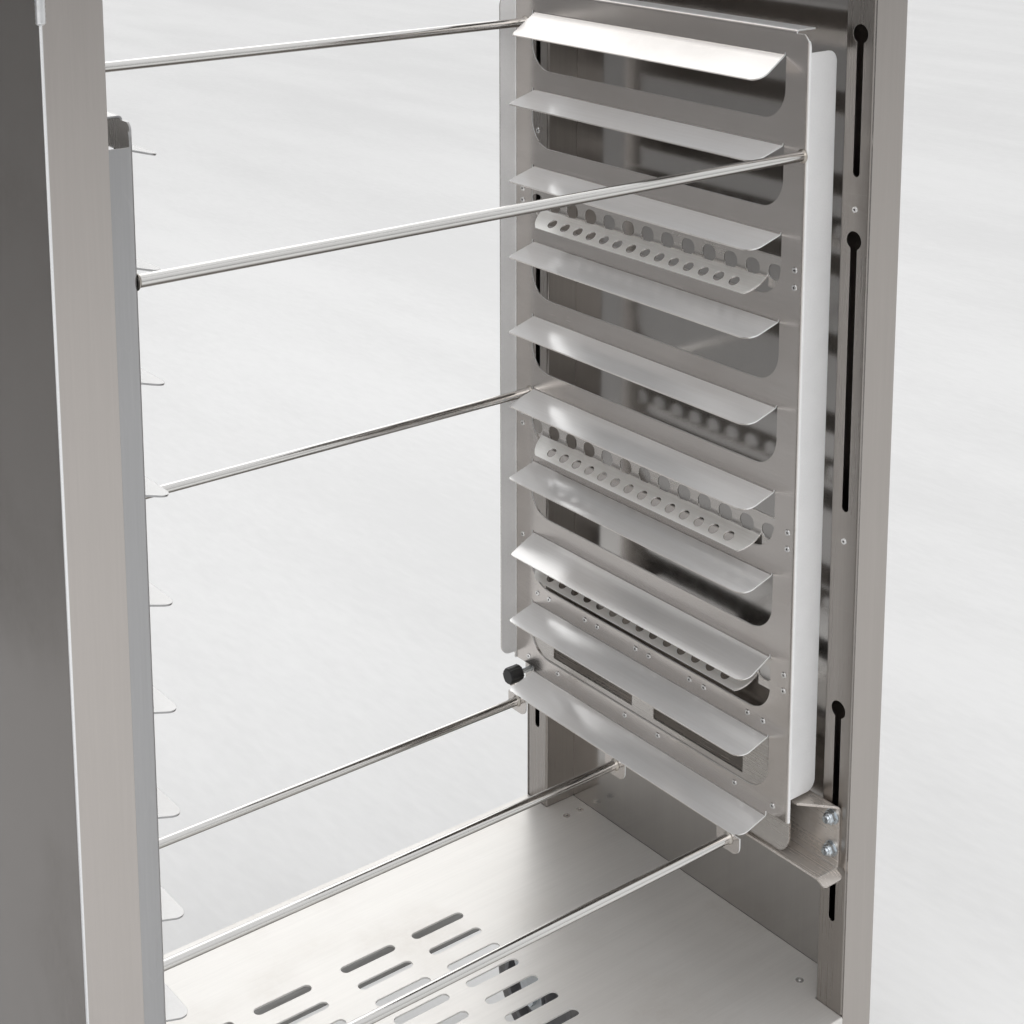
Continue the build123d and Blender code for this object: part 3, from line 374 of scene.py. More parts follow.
@dataclass(frozen=True)
class SteelFinish:
    """Brushed or polished metal.

    Attributes:
        name: The material's name.
        steel: Its middle colour.
        contrast: How far the grain goes to either side of that colour, as a share of it.
        roughness: How dull the clean metal is.
        matt: How much of it scatters light like a matt surface.
        unevenness: How much the grain changes the roughness.
        grain: Direction of the brushing.
        banding: How much of the grain is broad bands.
        relief: Strength of the grain's bumps.
        smudge: What wiped places make of the colour, as a share of it.
        smudge_cover: How much of the surface is wiped.
        edge_width: Radius of the rounded edges in metres.
        edge_highlight_strength: How strong the painted highlight on the rounded edges is.
        scratches: How plain the stray scratches are.
        lining: The inner side of the sheet, where it differs.
        sides: Faces that look one way, where they differ, mostly by painted light or shade.
    """

    name: str
    steel: Colour
    contrast: float = 0.07
    roughness: float = 0.3
    matt: float = 0.0
    unevenness: float = 0.06
    grain: Grain = Grain.UPRIGHT
    banding: float = 0.55
    relief: float = 0.05
    smudge: Colour = (0.88, 0.86, 0.84)
    smudge_cover: float = 0.45
    edge_width: float = 0.5 * MM
    edge_highlight_strength: float = 0.6
    scratches: float = 0.06
    lining: Lining | None = None
    sides: tuple[Side, ...] = ()

    def shade(self, share: float) -> tuple[float, float, float, float]:
        """Make the middle colour lighter or darker."""
        return (*(min(1.0, share * part) for part in self.steel), 1.0)

    def lining_light(self) -> tuple[float, float, float, float]:
        """Give the lighter tone of the inner side."""
        return (*(1.06 * part for part in self.lining.steel), 1.0)

    def build(self, groups: SurfaceGroups) -> bpy.types.Material:
        """Make the material.

        Args:
            groups: The shared surface effects.

        Returns:
            The finished material.
        """
        material = bpy.data.materials.new(self.name)
        material.use_nodes = True
        nodes = NodeTree(material.node_tree)
        shader = material.node_tree.nodes["Principled BSDF"]
        brushed = nodes.add("Group", node_tree=groups.brushing)
        brushed.inputs["Grain"].default_value = self.grain.value
        brushed.inputs["Banding"].default_value = self.banding
        wiped = nodes.add("Group", node_tree=groups.smudges)
        wiped.inputs["Cover"].default_value = self.smudge_cover
        edge_rounding = nodes.add("Group", node_tree=groups.edges)
        edge_rounding.inputs["Width"].default_value = self.edge_width
        marked = nodes.add("Group", node_tree=groups.scratches)
        marked.inputs["Cover"].default_value = self.scratches
        darkest, lightest = self.shade(1.0 - self.contrast), self.shade(1.0 + self.contrast)
        metal = nodes.blend(brushed.outputs["Tone"], darkest, lightest)
        wiped_steel = (*(part * share for part, share in zip(self.steel, self.smudge)), 1.0)
        colour = nodes.blend(nodes.maths("MULTIPLY", wiped.outputs["Mask"], 0.6), metal, wiped_steel)
        offset = nodes.maths("SUBTRACT", brushed.outputs["Tone"], 0.5)
        grainy = nodes.maths("MULTIPLY", offset, self.unevenness)
        dull = nodes.maths("ADD", grainy, self.roughness)
        metallic = 1.0 - self.matt
        if self.lining:
            centre, half = self.lining.reach()
            inner = nodes.add("Group", node_tree=groups.inner_side)
            inner.inputs["Centre"].default_value = centre
            inner.inputs["Half"].default_value = half
            mask = inner.outputs["Mask"]
            lined = nodes.blend(brushed.outputs["Tone"], (*self.lining.steel, 1.0), self.lining_light())
            colour = nodes.blend(mask, colour, lined)
            less = nodes.maths("MULTIPLY", mask, self.roughness - self.lining.roughness)
            dull = nodes.maths("SUBTRACT", dull, less)
        # Faces that look one way get their own colour, mostly painted light or shade, and their own
        # roughness.
        for side in self.sides:
            turned = nodes.add("Group", node_tree=groups.facing_side)
            turned.inputs["Way"].default_value = side.way
            turned.inputs["Start"].default_value = side.start
            turned.inputs["Full"].default_value = side.full
            mask = turned.outputs["Mask"]
            darker = (*((1.0 - self.contrast) * part for part in side.steel), 1.0)
            lighter = (*(min(1.0, (1.0 + self.contrast) * part) for part in side.steel), 1.0)
            colour = nodes.blend(mask, colour, nodes.blend(brushed.outputs["Tone"], darker, lighter))
            dull = nodes.maths("ADD", dull, nodes.maths("MULTIPLY", mask, side.roughness - self.roughness))
            if side.matt != self.matt:
                metallic = nodes.maths("ADD", metallic, nodes.maths("MULTIPLY", mask, self.matt - side.matt))
        nodes.feed(shader.inputs["Metallic"], metallic)
        # Rounded edges are lightened toward this tone as a painted highlight; the scratches use the same
        # lighter tone as real marks.
        bright = self.shade(1.7)
        edge_highlight_mask = nodes.maths("MULTIPLY", edge_rounding.outputs["Mask"], self.edge_highlight_strength)
        edge_highlit_colour = nodes.blend(edge_highlight_mask, colour, bright)
        nodes.join(nodes.blend(marked.outputs["Mask"], edge_highlit_colour, bright), shader.inputs["Base Color"])
        handled = nodes.maths("ADD", dull, nodes.maths("MULTIPLY", wiped.outputs["Mask"], 0.04))
        nodes.join(handled, shader.inputs["Roughness"])
        bump = nodes.add("Bump")
        bump.inputs["Strength"].default_value = self.relief
        bump.inputs["Distance"].default_value = 0.1 * MM
        nodes.join(brushed.outputs["Height"], bump.inputs["Height"])
        nodes.join(edge_rounding.outputs["Normal"], bump.inputs["Normal"])
        nodes.join(bump.outputs["Normal"], shader.inputs["Normal"])
        return material


@dataclass(frozen=True)
class MouldedFinish:
    """Moulded plastic or rubber.

    Attributes:
        name: The material's name.
        colour: The clean surface's colour.
        worn: Colour of dusty or rubbed places.
        roughness: How dull the surface is.
        pebble: How often the moulded texture repeats per metre.
        relief: Strength of the texture's bumps.
        dust: How much of the surface is dusty.
    """

    name: str
    colour: Colour
    worn: Colour
    roughness: float = 0.55
    pebble: float = 900.0
    relief: float = 0.2
    dust: float = 0.4

    def build(self, groups: SurfaceGroups) -> bpy.types.Material:
        """Make the material.

        Args:
            groups: The shared surface effects.

        Returns:
            The finished material.
        """
        material = bpy.data.materials.new(self.name)
        material.use_nodes = True
        nodes = NodeTree(material.node_tree)
        shader = material.node_tree.nodes["Principled BSDF"]
        place = nodes.add("TexCoord").outputs["Object"]
        pebbles = nodes.noise(place, self.pebble, 2.0)
        dusty = nodes.add("Group", node_tree=groups.smudges)
        dusty.inputs["Cover"].default_value = self.dust
        dusty.inputs["Size"].default_value = 24.0
        edge_rounding = nodes.add("Group", node_tree=groups.edges)
        edge_rounding.inputs["Width"].default_value = 0.8 * MM
        grime = nodes.maths("MULTIPLY", dusty.outputs["Mask"], 0.5)
        wear = nodes.maths("MAXIMUM", grime, nodes.maths("MULTIPLY", edge_rounding.outputs["Mask"], 0.5))
        nodes.join(nodes.blend(wear, (*self.colour, 1.0), (*self.worn, 1.0)), shader.inputs["Base Color"])
        dull = nodes.maths("ADD", nodes.maths("MULTIPLY", pebbles, 0.2), self.roughness - 0.1)
        nodes.join(nodes.maths("ADD", dull, nodes.maths("MULTIPLY", grime, 0.2)), shader.inputs["Roughness"])
        bump = nodes.add("Bump")
        bump.inputs["Strength"].default_value = self.relief
        bump.inputs["Distance"].default_value = 0.2 * MM
        nodes.join(pebbles, bump.inputs["Height"])
        nodes.join(edge_rounding.outputs["Normal"], bump.inputs["Normal"])
        nodes.join(bump.outputs["Normal"], shader.inputs["Normal"])
        return material


DIAGONAL = math.sqrt(0.5)
WALL = SteelFinish(
    "brushed_wall_sheet", steel=(0.37, 0.345, 0.325), contrast=0.03, roughness=0.22, unevenness=0.02,
    relief=0.02, smudge=(0.8, 0.78, 0.76),
    lining=Lining(steel=(0.42, 0.405, 0.39), roughness=0.12),
    sides=(
        # Front faces painted lighter than the rest of the wall: painted light.
        Side((0.0, -1.0, 0.0), (0.54, 0.506, 0.48), 0.3),
        # The folded front corners are painted near white: a painted highlight.
        Side((-DIAGONAL, -DIAGONAL, 0.0), (0.93, 0.94, 0.95), 0.2, 0.2, 0.9, 0.97),
        Side((DIAGONAL, -DIAGONAL, 0.0), (0.93, 0.94, 0.95), 0.2, 0.2, 0.9, 0.97),
    ),
)
# The right wall is the same sheet with its front faces painted darker: painted shade.
WALL_RIGHT = replace(WALL, name="right_wall_sheet_painted_shade", sides=(
    replace(WALL.sides[0], steel=(0.46, 0.43, 0.405)),
    *WALL.sides[1:],
))
UPRIGHT = SteelFinish(
    "brushed_upright_sheet", steel=(0.375, 0.349, 0.327), roughness=0.28,
    sides=(Side((0.0, -1.0, 0.0), (0.375, 0.349, 0.327), 0.3),),
)
SHELF = SteelFinish(
    "brushed_shelf_sheet", steel=(0.86, 0.84, 0.81), contrast=0.04, roughness=0.36, matt=0.55,
    grain=Grain.ALONG_WIDTH, unevenness=0.04,
)
BEAM = SteelFinish("mill_beam_sheet", steel=(0.42, 0.415, 0.41), roughness=0.38, grain=Grain.ALONG_WIDTH)
# Upward faces of the ledges painted much lighter: painted light from above.
LEDGE_TOPS_PAINTED_LIGHT = Side((0.0, 0.0, 1.0), (0.97, 0.96, 0.95), 0.2, 0.62, 0.74, 0.96)
RACK = SteelFinish(
    "brushed_rack_sheet", steel=(0.62, 0.583, 0.555), contrast=0.06, roughness=0.22, matt=0.05,
    grain=Grain.ALONG_DEPTH,
    # The front faces are painted near white and matt: painted light.
    sides=(LEDGE_TOPS_PAINTED_LIGHT, Side((0.0, -1.0, 0.0), (0.98, 0.98, 0.98), 0.5, 0.85)),
)
# The left panel is a darker copy of the rack steel, with a darker front: painted shade.
RACK_LEFT = SteelFinish(
    "dull_rack_sheet_painted_shade", steel=(0.50, 0.49, 0.48), contrast=0.05, roughness=0.26,
    sides=(LEDGE_TOPS_PAINTED_LIGHT, Side((0.0, -1.0, 0.0), (0.44, 0.44, 0.445), 0.3)),
)
STRIP = SteelFinish(
    "brushed_strip_sheet", steel=(0.64, 0.61, 0.58), roughness=0.24, matt=0.12, grain=Grain.ALONG_DEPTH,
    # Upward faces painted much lighter: painted light from above.
    sides=(Side((0.0, 0.0, 1.0), (0.96, 0.94, 0.91), 0.3, 0.5, 0.45, 0.75),),
    # Stronger painted highlight on the rounded edges.
    edge_highlight_strength=0.9,
)
RUNNER = SteelFinish(
    "worn_runner_sheet", steel=(0.54, 0.515, 0.49), roughness=0.26, matt=0.15, grain=Grain.ALONG_DEPTH,
    scratches=0.15,
)
RAIL = SteelFinish(
    "worn_rail_sheet", steel=(0.70, 0.655, 0.61), contrast=0.1, roughness=0.26, matt=0.5,
    grain=Grain.ALONG_DEPTH, smudge=(0.74, 0.70, 0.66), smudge_cover=0.55, scratches=0.2,
)
ROD = SteelFinish(
    "polished_rod", steel=(0.76, 0.75, 0.73), contrast=0.05, roughness=0.1, grain=Grain.ALONG_WIDTH,
    unevenness=0.05, relief=0.03, smudge_cover=0.35,
    # Faces that look down and to the front painted dark: painted shade under the rods.
    sides=(Side((0.0, -0.6, -0.8), (0.22, 0.20, 0.18), 0.2, 0.0, 0.72, 0.95),),
)
RIVET = SteelFinish(
    "satin_rivet", steel=(0.78, 0.775, 0.765), roughness=0.2, grain=Grain.ROUND, edge_width=0.25 * MM,
)
RIVET_CORE = SteelFinish(
    "dark_rivet_core", steel=(0.12, 0.115, 0.11), contrast=0.2, roughness=0.45, grain=Grain.ROUND,
    edge_width=0.1 * MM, edge_highlight_strength=0.2,
)
ZINC = SteelFinish(
    "bright_zinc", steel=(0.70, 0.75, 0.79), roughness=0.24, grain=Grain.ROUND, edge_width=0.3 * MM,
)
HANDLE = SteelFinish("satin_handle_tube", steel=(0.60, 0.595, 0.585), roughness=0.22, grain=Grain.ALONG_WIDTH)
CASTOR_ZINC = SteelFinish(
    "dull_castor_zinc", steel=(0.54, 0.565, 0.59), contrast=0.1, roughness=0.36, grain=Grain.ROUND,
    smudge=(0.80, 0.78, 0.74), smudge_cover=0.55,
)
WELD = SteelFinish(
    "weld_bead", steel=(0.56, 0.53, 0.49), contrast=0.15, roughness=0.3, grain=Grain.ROUND, relief=0.2,
    smudge=(0.72, 0.64, 0.56), smudge_cover=0.55, edge_width=0.2 * MM,
)
# Weld bead coloured near white: a painted highlight at the top of the wall corners.
CORNER_WELD_PAINTED_HIGHLIGHT = SteelFinish(
    "corner_weld_painted_highlight", steel=(0.88, 0.89, 0.90), contrast=0.08, roughness=0.3, grain=Grain.ROUND,
    relief=0.2, edge_width=0.3 * MM,
)
KNOB = MouldedFinish(
    "black_knob_plastic", (0.018, 0.018, 0.019), (0.09, 0.09, 0.09), roughness=0.42, dust=0.25,
)
TYRE = MouldedFinish(
    "grey_elastic_tyre", (0.13, 0.13, 0.135), (0.33, 0.32, 0.30), roughness=0.7, pebble=500.0, relief=0.3,
    dust=0.55,
)
HUB = MouldedFinish("grey_hub_plastic", (0.20, 0.20, 0.21), (0.38, 0.37, 0.36), roughness=0.5)


class Wardrobe:
    """Builds each finish once and hands it out."""

    def __init__(self) -> None:
        """Start with the shared groups and no materials."""
        self.groups = SurfaceGroups()
        self.made: dict[str, bpy.types.Material] = {}

    def material(self, finish: SteelFinish | MouldedFinish) -> bpy.types.Material:
        """Give a finish's material, made on first use."""
        if finish.name not in self.made:
            self.made[finish.name] = finish.build(self.groups)
        return self.made[finish.name]

    def dress(self, node: str, finish: SteelFinish | MouldedFinish) -> None:
        """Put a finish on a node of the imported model.

        Args:
            node: The node's name.
            finish: What it is made of.
        """
        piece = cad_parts[node]
        if not piece.material_slots:
            piece.data.materials.append(None)
        for place in piece.material_slots:
            place.material = self.material(finish)
        LOG.info("%s: %s", node, finish.name)


def place_piece(name: str, mesh: bmesh.types.BMesh, material: bpy.types.Material, body: str,
                smooth: bool = True) -> bpy.types.Object:
    """Turn a mesh into a piece of the trolley.

    Args:
        name: The piece's name.
        mesh: Its mesh, in metres in the trolley's frame, which is freed here.
        material: Its material.
        body: The body that it moves with.
        smooth: Whether faces at a low angle to each other are shaded as one.

    Returns:
        The new object.
    """
    data = bpy.data.meshes.new(name)
    mesh.to_mesh(data)
    mesh.free()
    data.materials.append(material)
    if smooth:
        data.shade_smooth()
        data.set_sharp_from_angle(angle=math.radians(40.0))
    piece = bpy.data.objects.new(name, data)
    bpy.context.collection.objects.link(piece)
    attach(piece, body)
    LOG.info("%s rides on %s", name, body)
    return piece


def turn_profile(mesh: bmesh.types.BMesh, outline: list[tuple[float, float]], centre: Vector, axis: Vector,
                 steps: int = 24) -> None:
    """Add a turned form to a mesh.

    Args:
        mesh: The mesh that the form is added to.
        outline: Distance along the axis and radius of each point, in metres.
        centre: Where the axis starts.
        axis: Direction of the axis.
        steps: How many sides the form has.
    """
    to_axis = Matrix.Translation(centre) @ axis.to_track_quat("Z", "Y").to_matrix().to_4x4()
    rings = []
    for along, radius in outline:
        ring = []
        for step in range(steps):
            angle = 2.0 * math.pi * step / steps
            corner = Vector((radius * math.cos(angle), radius * math.sin(angle), along))
            ring.append(mesh.verts.new(to_axis @ corner))
        rings.append(ring)
    for lower, upper in zip(rings, rings[1:]):
        for step in range(steps):
            after = (step + 1) % steps
            mesh.faces.new((lower[step], lower[after], upper[after], upper[step]))
    mesh.faces.new(list(reversed(rings[0])))
    mesh.faces.new(rings[-1])


def solid_boxes(node: str) -> list[tuple[Vector, Vector]]:
    """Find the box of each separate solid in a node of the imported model.

    Args:
        node: The node's name.

    Returns:
        The lowest and highest corner of each solid, in metres.
    """
    mesh = bmesh.new()
    mesh.from_mesh(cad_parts[node].data)
    bmesh.ops.remove_doubles(mesh, verts=mesh.verts, dist=0.001 * MM)
    left = set(mesh.verts)
    boxes = []
    while left:
        reached = [left.pop()]
        for vertex in reached:
            for edge in vertex.link_edges:
                other = edge.other_vert(vertex)
                if other in left:
                    left.remove(other)
                    reached.append(other)
        low = Vector(min(vertex.co[axis] for vertex in reached) for axis in range(3))
        high = Vector(max(vertex.co[axis] for vertex in reached) for axis in range(3))
        boxes.append((low, high))
    mesh.free()
    return boxes


def build_rivet_cores(name: str, node: str, wardrobe: "Wardrobe", body: str) -> None:
    """Add the dark broken-off pin in the head of each blind rivet of a node.

    Args:
        name: Name of the new piece.
        node: The rivets' node.
        wardrobe: Where the finish comes from.
        body: The body that the rivets move with.
    """
    mesh = bmesh.new()
    for low, high in solid_boxes(node):
        outwards = 1.0 if low[0] > 0 else -1.0
        face = min(abs(low[0]), abs(high[0]))
        start = Vector((outwards * (face + 0.3 * MM), (low[1] + high[1]) / 2, (low[2] + high[2]) / 2))
        core = [(0.0, 0.45 * MM), (0.15 * MM, 0.8 * MM), (0.9 * MM, 0.86 * MM)]
        turn_profile(mesh, core, start, Vector((outwards, 0.0, 0.0)), steps=12)
    place_piece(name, mesh, wardrobe.material(RIVET_CORE), body)


@dataclass
class OuterFrame:
    """Walls, uprights, base and push handle, which stay still."""

    walls: tuple[str, ...] = ("side_wall_left", "side_wall_right")
    uprights: tuple[str, ...] = (
        "upright_front_left", "upright_front_right", "upright_rear_left", "upright_rear_right",
    )
    beams: tuple[str, ...] = ("base_beam_front", "base_beam_rear")
    weld_length: float = 72.0 * MM
    weld_radius: float = 2.7 * MM
    weld_ripple: float = 2.4 * MM

    def build_corner_welds(self, wardrobe: Wardrobe) -> None:
        """Add the bead that closes each corner at the top of the walls, coloured near white as a painted
        highlight.
        """
        low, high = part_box("side_wall_right")
        inset = 1.3 * MM
        mesh = bmesh.new()
        outline = [(0.0, 0.3 * self.weld_radius), (0.6 * MM, 0.75 * self.weld_radius)]
        along = 1.5 * MM
        while along < self.weld_length:
            outline.append((along, self.weld_radius))
            outline.append((along + self.weld_ripple / 2, 0.95 * self.weld_radius))
            along += self.weld_ripple
        outline.append((self.weld_length, 0.3 * self.weld_radius))
        for side in (-1.0, 1.0):
            for y in (low[1] + inset, high[1] - inset):
                start = Vector((side * (high[0] - inset), y, high[2] - self.weld_length))
                turn_profile(mesh, outline, start, Vector((0.0, 0.0, 1.0)))
        place_piece("wall_corner_welds", mesh, wardrobe.material(CORNER_WELD_PAINTED_HIGHLIGHT), "frame")

    def dress(self, wardrobe: Wardrobe) -> None:
        """Put a finish on each node of the frame."""
        for node in self.walls:
            wardrobe.dress(node, WALL_RIGHT if node == "side_wall_right" else WALL)
        for node in self.uprights:
            wardrobe.dress(node, UPRIGHT)
        for node in self.beams:
            wardrobe.dress(node, BEAM)
        wardrobe.dress("base_shelf", SHELF)
        wardrobe.dress("push_handle", HANDLE)
        wardrobe.dress("upright_rivets", RIVET)
        wardrobe.dress("base_screws", RIVET)
        wardrobe.dress("handle_bolts", ZINC)
        build_rivet_cores("upright_rivet_cores", "upright_rivets", wardrobe, "frame")
        self.build_corner_welds(wardrobe)


@dataclass
class GuideRails:
    """Open rails that carry the rack, with the bolts and nuts that hold them in the keyhole slots."""

    nut_across: float = 10.0 * MM
    nut_height: float = 5.2 * MM
    collar_height: float = 2.0 * MM
    thread_pitch: float = 1.0 * MM
    thread_depth: float = 0.35 * MM
    bolt_radius: float = 3.0 * MM

    def bolt_places(self) -> list[tuple[Point, float]]:
        """Find each bolt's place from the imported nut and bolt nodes.

        Returns:
            Where each nut's inner end meets its rail, and the direction inwards along X.
        """
        low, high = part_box("rail_nuts")
        half_flange = 6.5 * MM
        reach = high[0]
        places = []
        for side in (-1.0, 1.0):
            for y in (low[1] + half_flange, high[1] - half_flange):
                for z in (low[2] + half_flange, high[2] - half_flange):
                    places.append(((side * reach, y, z), -side))
        return places

    def build_collars(self, wardrobe: Wardrobe) -> None:
        """Add the domed locking collar on top of each nut."""
        mesh = bmesh.new()
        for (x, y, z), inwards in self.bolt_places():
            start = Vector((x + inwards * self.nut_height, y, z))
            radius = 0.47 * self.nut_across
            height = self.collar_height
            dome = [
                (-0.2 * MM, radius), (0.45 * height, 0.98 * radius), (0.8 * height, 0.9 * radius),
                (height, 0.74 * radius), (height, self.bolt_radius - 0.1 * MM),
                (0.5 * height, self.bolt_radius - 0.1 * MM),
            ]
            turn_profile(mesh, dome, start, Vector((inwards, 0.0, 0.0)))
        place_piece("rail_nut_collars", mesh, wardrobe.material(ZINC), "rails")

    def build_threads(self, wardrobe: Wardrobe) -> None:
        """Add the turns of thread on the bolts' free ends."""
        mesh = bmesh.new()
        tail = 3.6 * MM
        for (x, y, z), inwards in self.bolt_places():
            start = Vector((x + inwards * (self.nut_height + self.collar_height * 0.5), y, z))
            outline = []
            along = 0.0
            while along < tail - self.collar_height * 0.5:
                outline.append((along, self.bolt_radius - 0.05 * MM))
                outline.append((along + self.thread_pitch / 2, self.bolt_radius + self.thread_depth))
                along += self.thread_pitch
            outline.append((along, self.bolt_radius - 0.05 * MM))
            turn_profile(mesh, outline, start, Vector((inwards, 0.0, 0.0)))
        place_piece("rail_bolt_threads", mesh, wardrobe.material(ZINC), "rails")

    def dress(self, wardrobe: Wardrobe) -> None:
        """Put a finish on the rails and their fasteners."""
        for node in ("guide_rail_left", "guide_rail_right"):
            wardrobe.dress(node, RAIL)
        for node in ("rail_bolts", "rail_nuts"):
            wardrobe.dress(node, ZINC)
        self.build_collars(wardrobe)
        self.build_threads(wardrobe)


@dataclass
class TrayRack:
    """The rack that slides out: panels with their ledges, tie rods, air strips and runners."""

    rods: tuple[str, ...] = (
        "tie_rod_top_rear", "tie_rod_top_front", "tie_rod_middle_rear",
        "tie_rod_bottom_front", "tie_rod_bottom_middle", "tie_rod_bottom_rear",
    )
    strip_levels: tuple[int, ...] = (3, 6, 8)
    sides: tuple[str, ...] = ("left", "right")
    bead_reach: float = 1.4 * MM

    def build_beads(self, wardrobe: Wardrobe) -> None:
        """Add the weld bead round both ends of each tie rod."""
        mesh = bmesh.new()
        for rod in self.rods:
            low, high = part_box(rod)
            radius = (high[2] - low[2]) / 2
            y, z = (low[1] + high[1]) / 2, (low[2] + high[2]) / 2
            for x, inwards in ((low[0], 1.0), (high[0], -1.0)):
                bead = [
                    (0.05 * MM, radius + self.bead_reach), (0.45 * MM, radius + 0.95 * self.bead_reach),
                    (1.0 * MM, radius + 0.55 * self.bead_reach), (1.6 * MM, radius + 0.15 * self.bead_reach),
                    (2.0 * MM, radius - 0.1 * MM),
                ]
                turn_profile(mesh, bead, Vector((x, y, z)), Vector((inwards, 0.0, 0.0)))
        place_piece("tie_rod_welds", mesh, wardrobe.material(WELD), "rack")

    def dress(self, wardrobe: Wardrobe) -> None:
        """Put a finish on each node of the rack."""
        wardrobe.dress("rack_panel_right", RACK)
        wardrobe.dress("rack_panel_left", RACK_LEFT)
        for side in self.sides:
            wardrobe.dress(f"runner_{side}", RUNNER)
            for level in self.strip_levels:
                wardrobe.dress(f"air_strip_{side}_{level}", STRIP)
        for rod in self.rods:
            wardrobe.dress(rod, ROD)
        wardrobe.dress("rack_rivets", RIVET)
        build_rivet_cores("rack_rivet_cores", "rack_rivets", wardrobe, "rack")
        self.build_beads(wardrobe)


@dataclass
class ClampScrews:
    """Knobs and studs that press the rack against its rails."""

    sides: tuple[str, ...] = ("left", "right")

    def dress(self, wardrobe: Wardrobe) -> None:
        """Put a finish on the knobs, studs and nuts."""
        for side in self.sides:
            wardrobe.dress(f"clamp_knob_{side}", KNOB)
            wardrobe.dress(f"clamp_stud_{side}", ZINC)
        wardrobe.dress("clamp_nuts", ZINC)


@dataclass
class Castors:
    """Four swivel castors, two with brakes."""

    places: tuple[str, ...] = ("front_left", "front_right", "rear_left", "rear_right")
    braked: tuple[str, ...] = ("front_left", "front_right")

    def dress(self, wardrobe: Wardrobe) -> None:
        """Put a finish on each piece of each castor."""
        wardrobe.dress("castor_plates", CASTOR_ZINC)
        wardrobe.dress("castor_bolts", ZINC)
        for place in self.places:
            wardrobe.dress(f"castor_fork_{place}", CASTOR_ZINC)
            wardrobe.dress(f"castor_axle_{place}", ZINC)
            wardrobe.dress(f"castor_hub_{place}", HUB)
            wardrobe.dress(f"castor_tyre_{place}", TYRE)
        for place in self.braked:
            wardrobe.dress(f"brake_pedal_{place}", CASTOR_ZINC)


@dataclass(frozen=True)
class SkyPatch:
    """A soft patch of the surroundings that is brighter or darker than the rest.

    Attributes:
        towards: Direction of its middle.
        colour: Its colour, where 1 is white.
        inner: Cosine of the angle up to which it has its full colour.
        outer: Cosine of the angle at which it has faded out.
    """

    towards: Point
    colour: Colour
    inner: float
    outer: float


@dataclass(frozen=True)
class Screen:
    """A flat screen that only reflections show, as photographers put beside shiny things.

    Attributes:
        name: The screen's name.
        centre: Where its middle is.
        faces: Where it faces.
        size: Its width and height in metres.
        tone: How light it is at its top edge.
        low_tone: How light it is at its bottom edge.
    """

    name: str
    centre: Point
    faces: Point
    size: tuple[float, float]
    tone: float
    low_tone: float


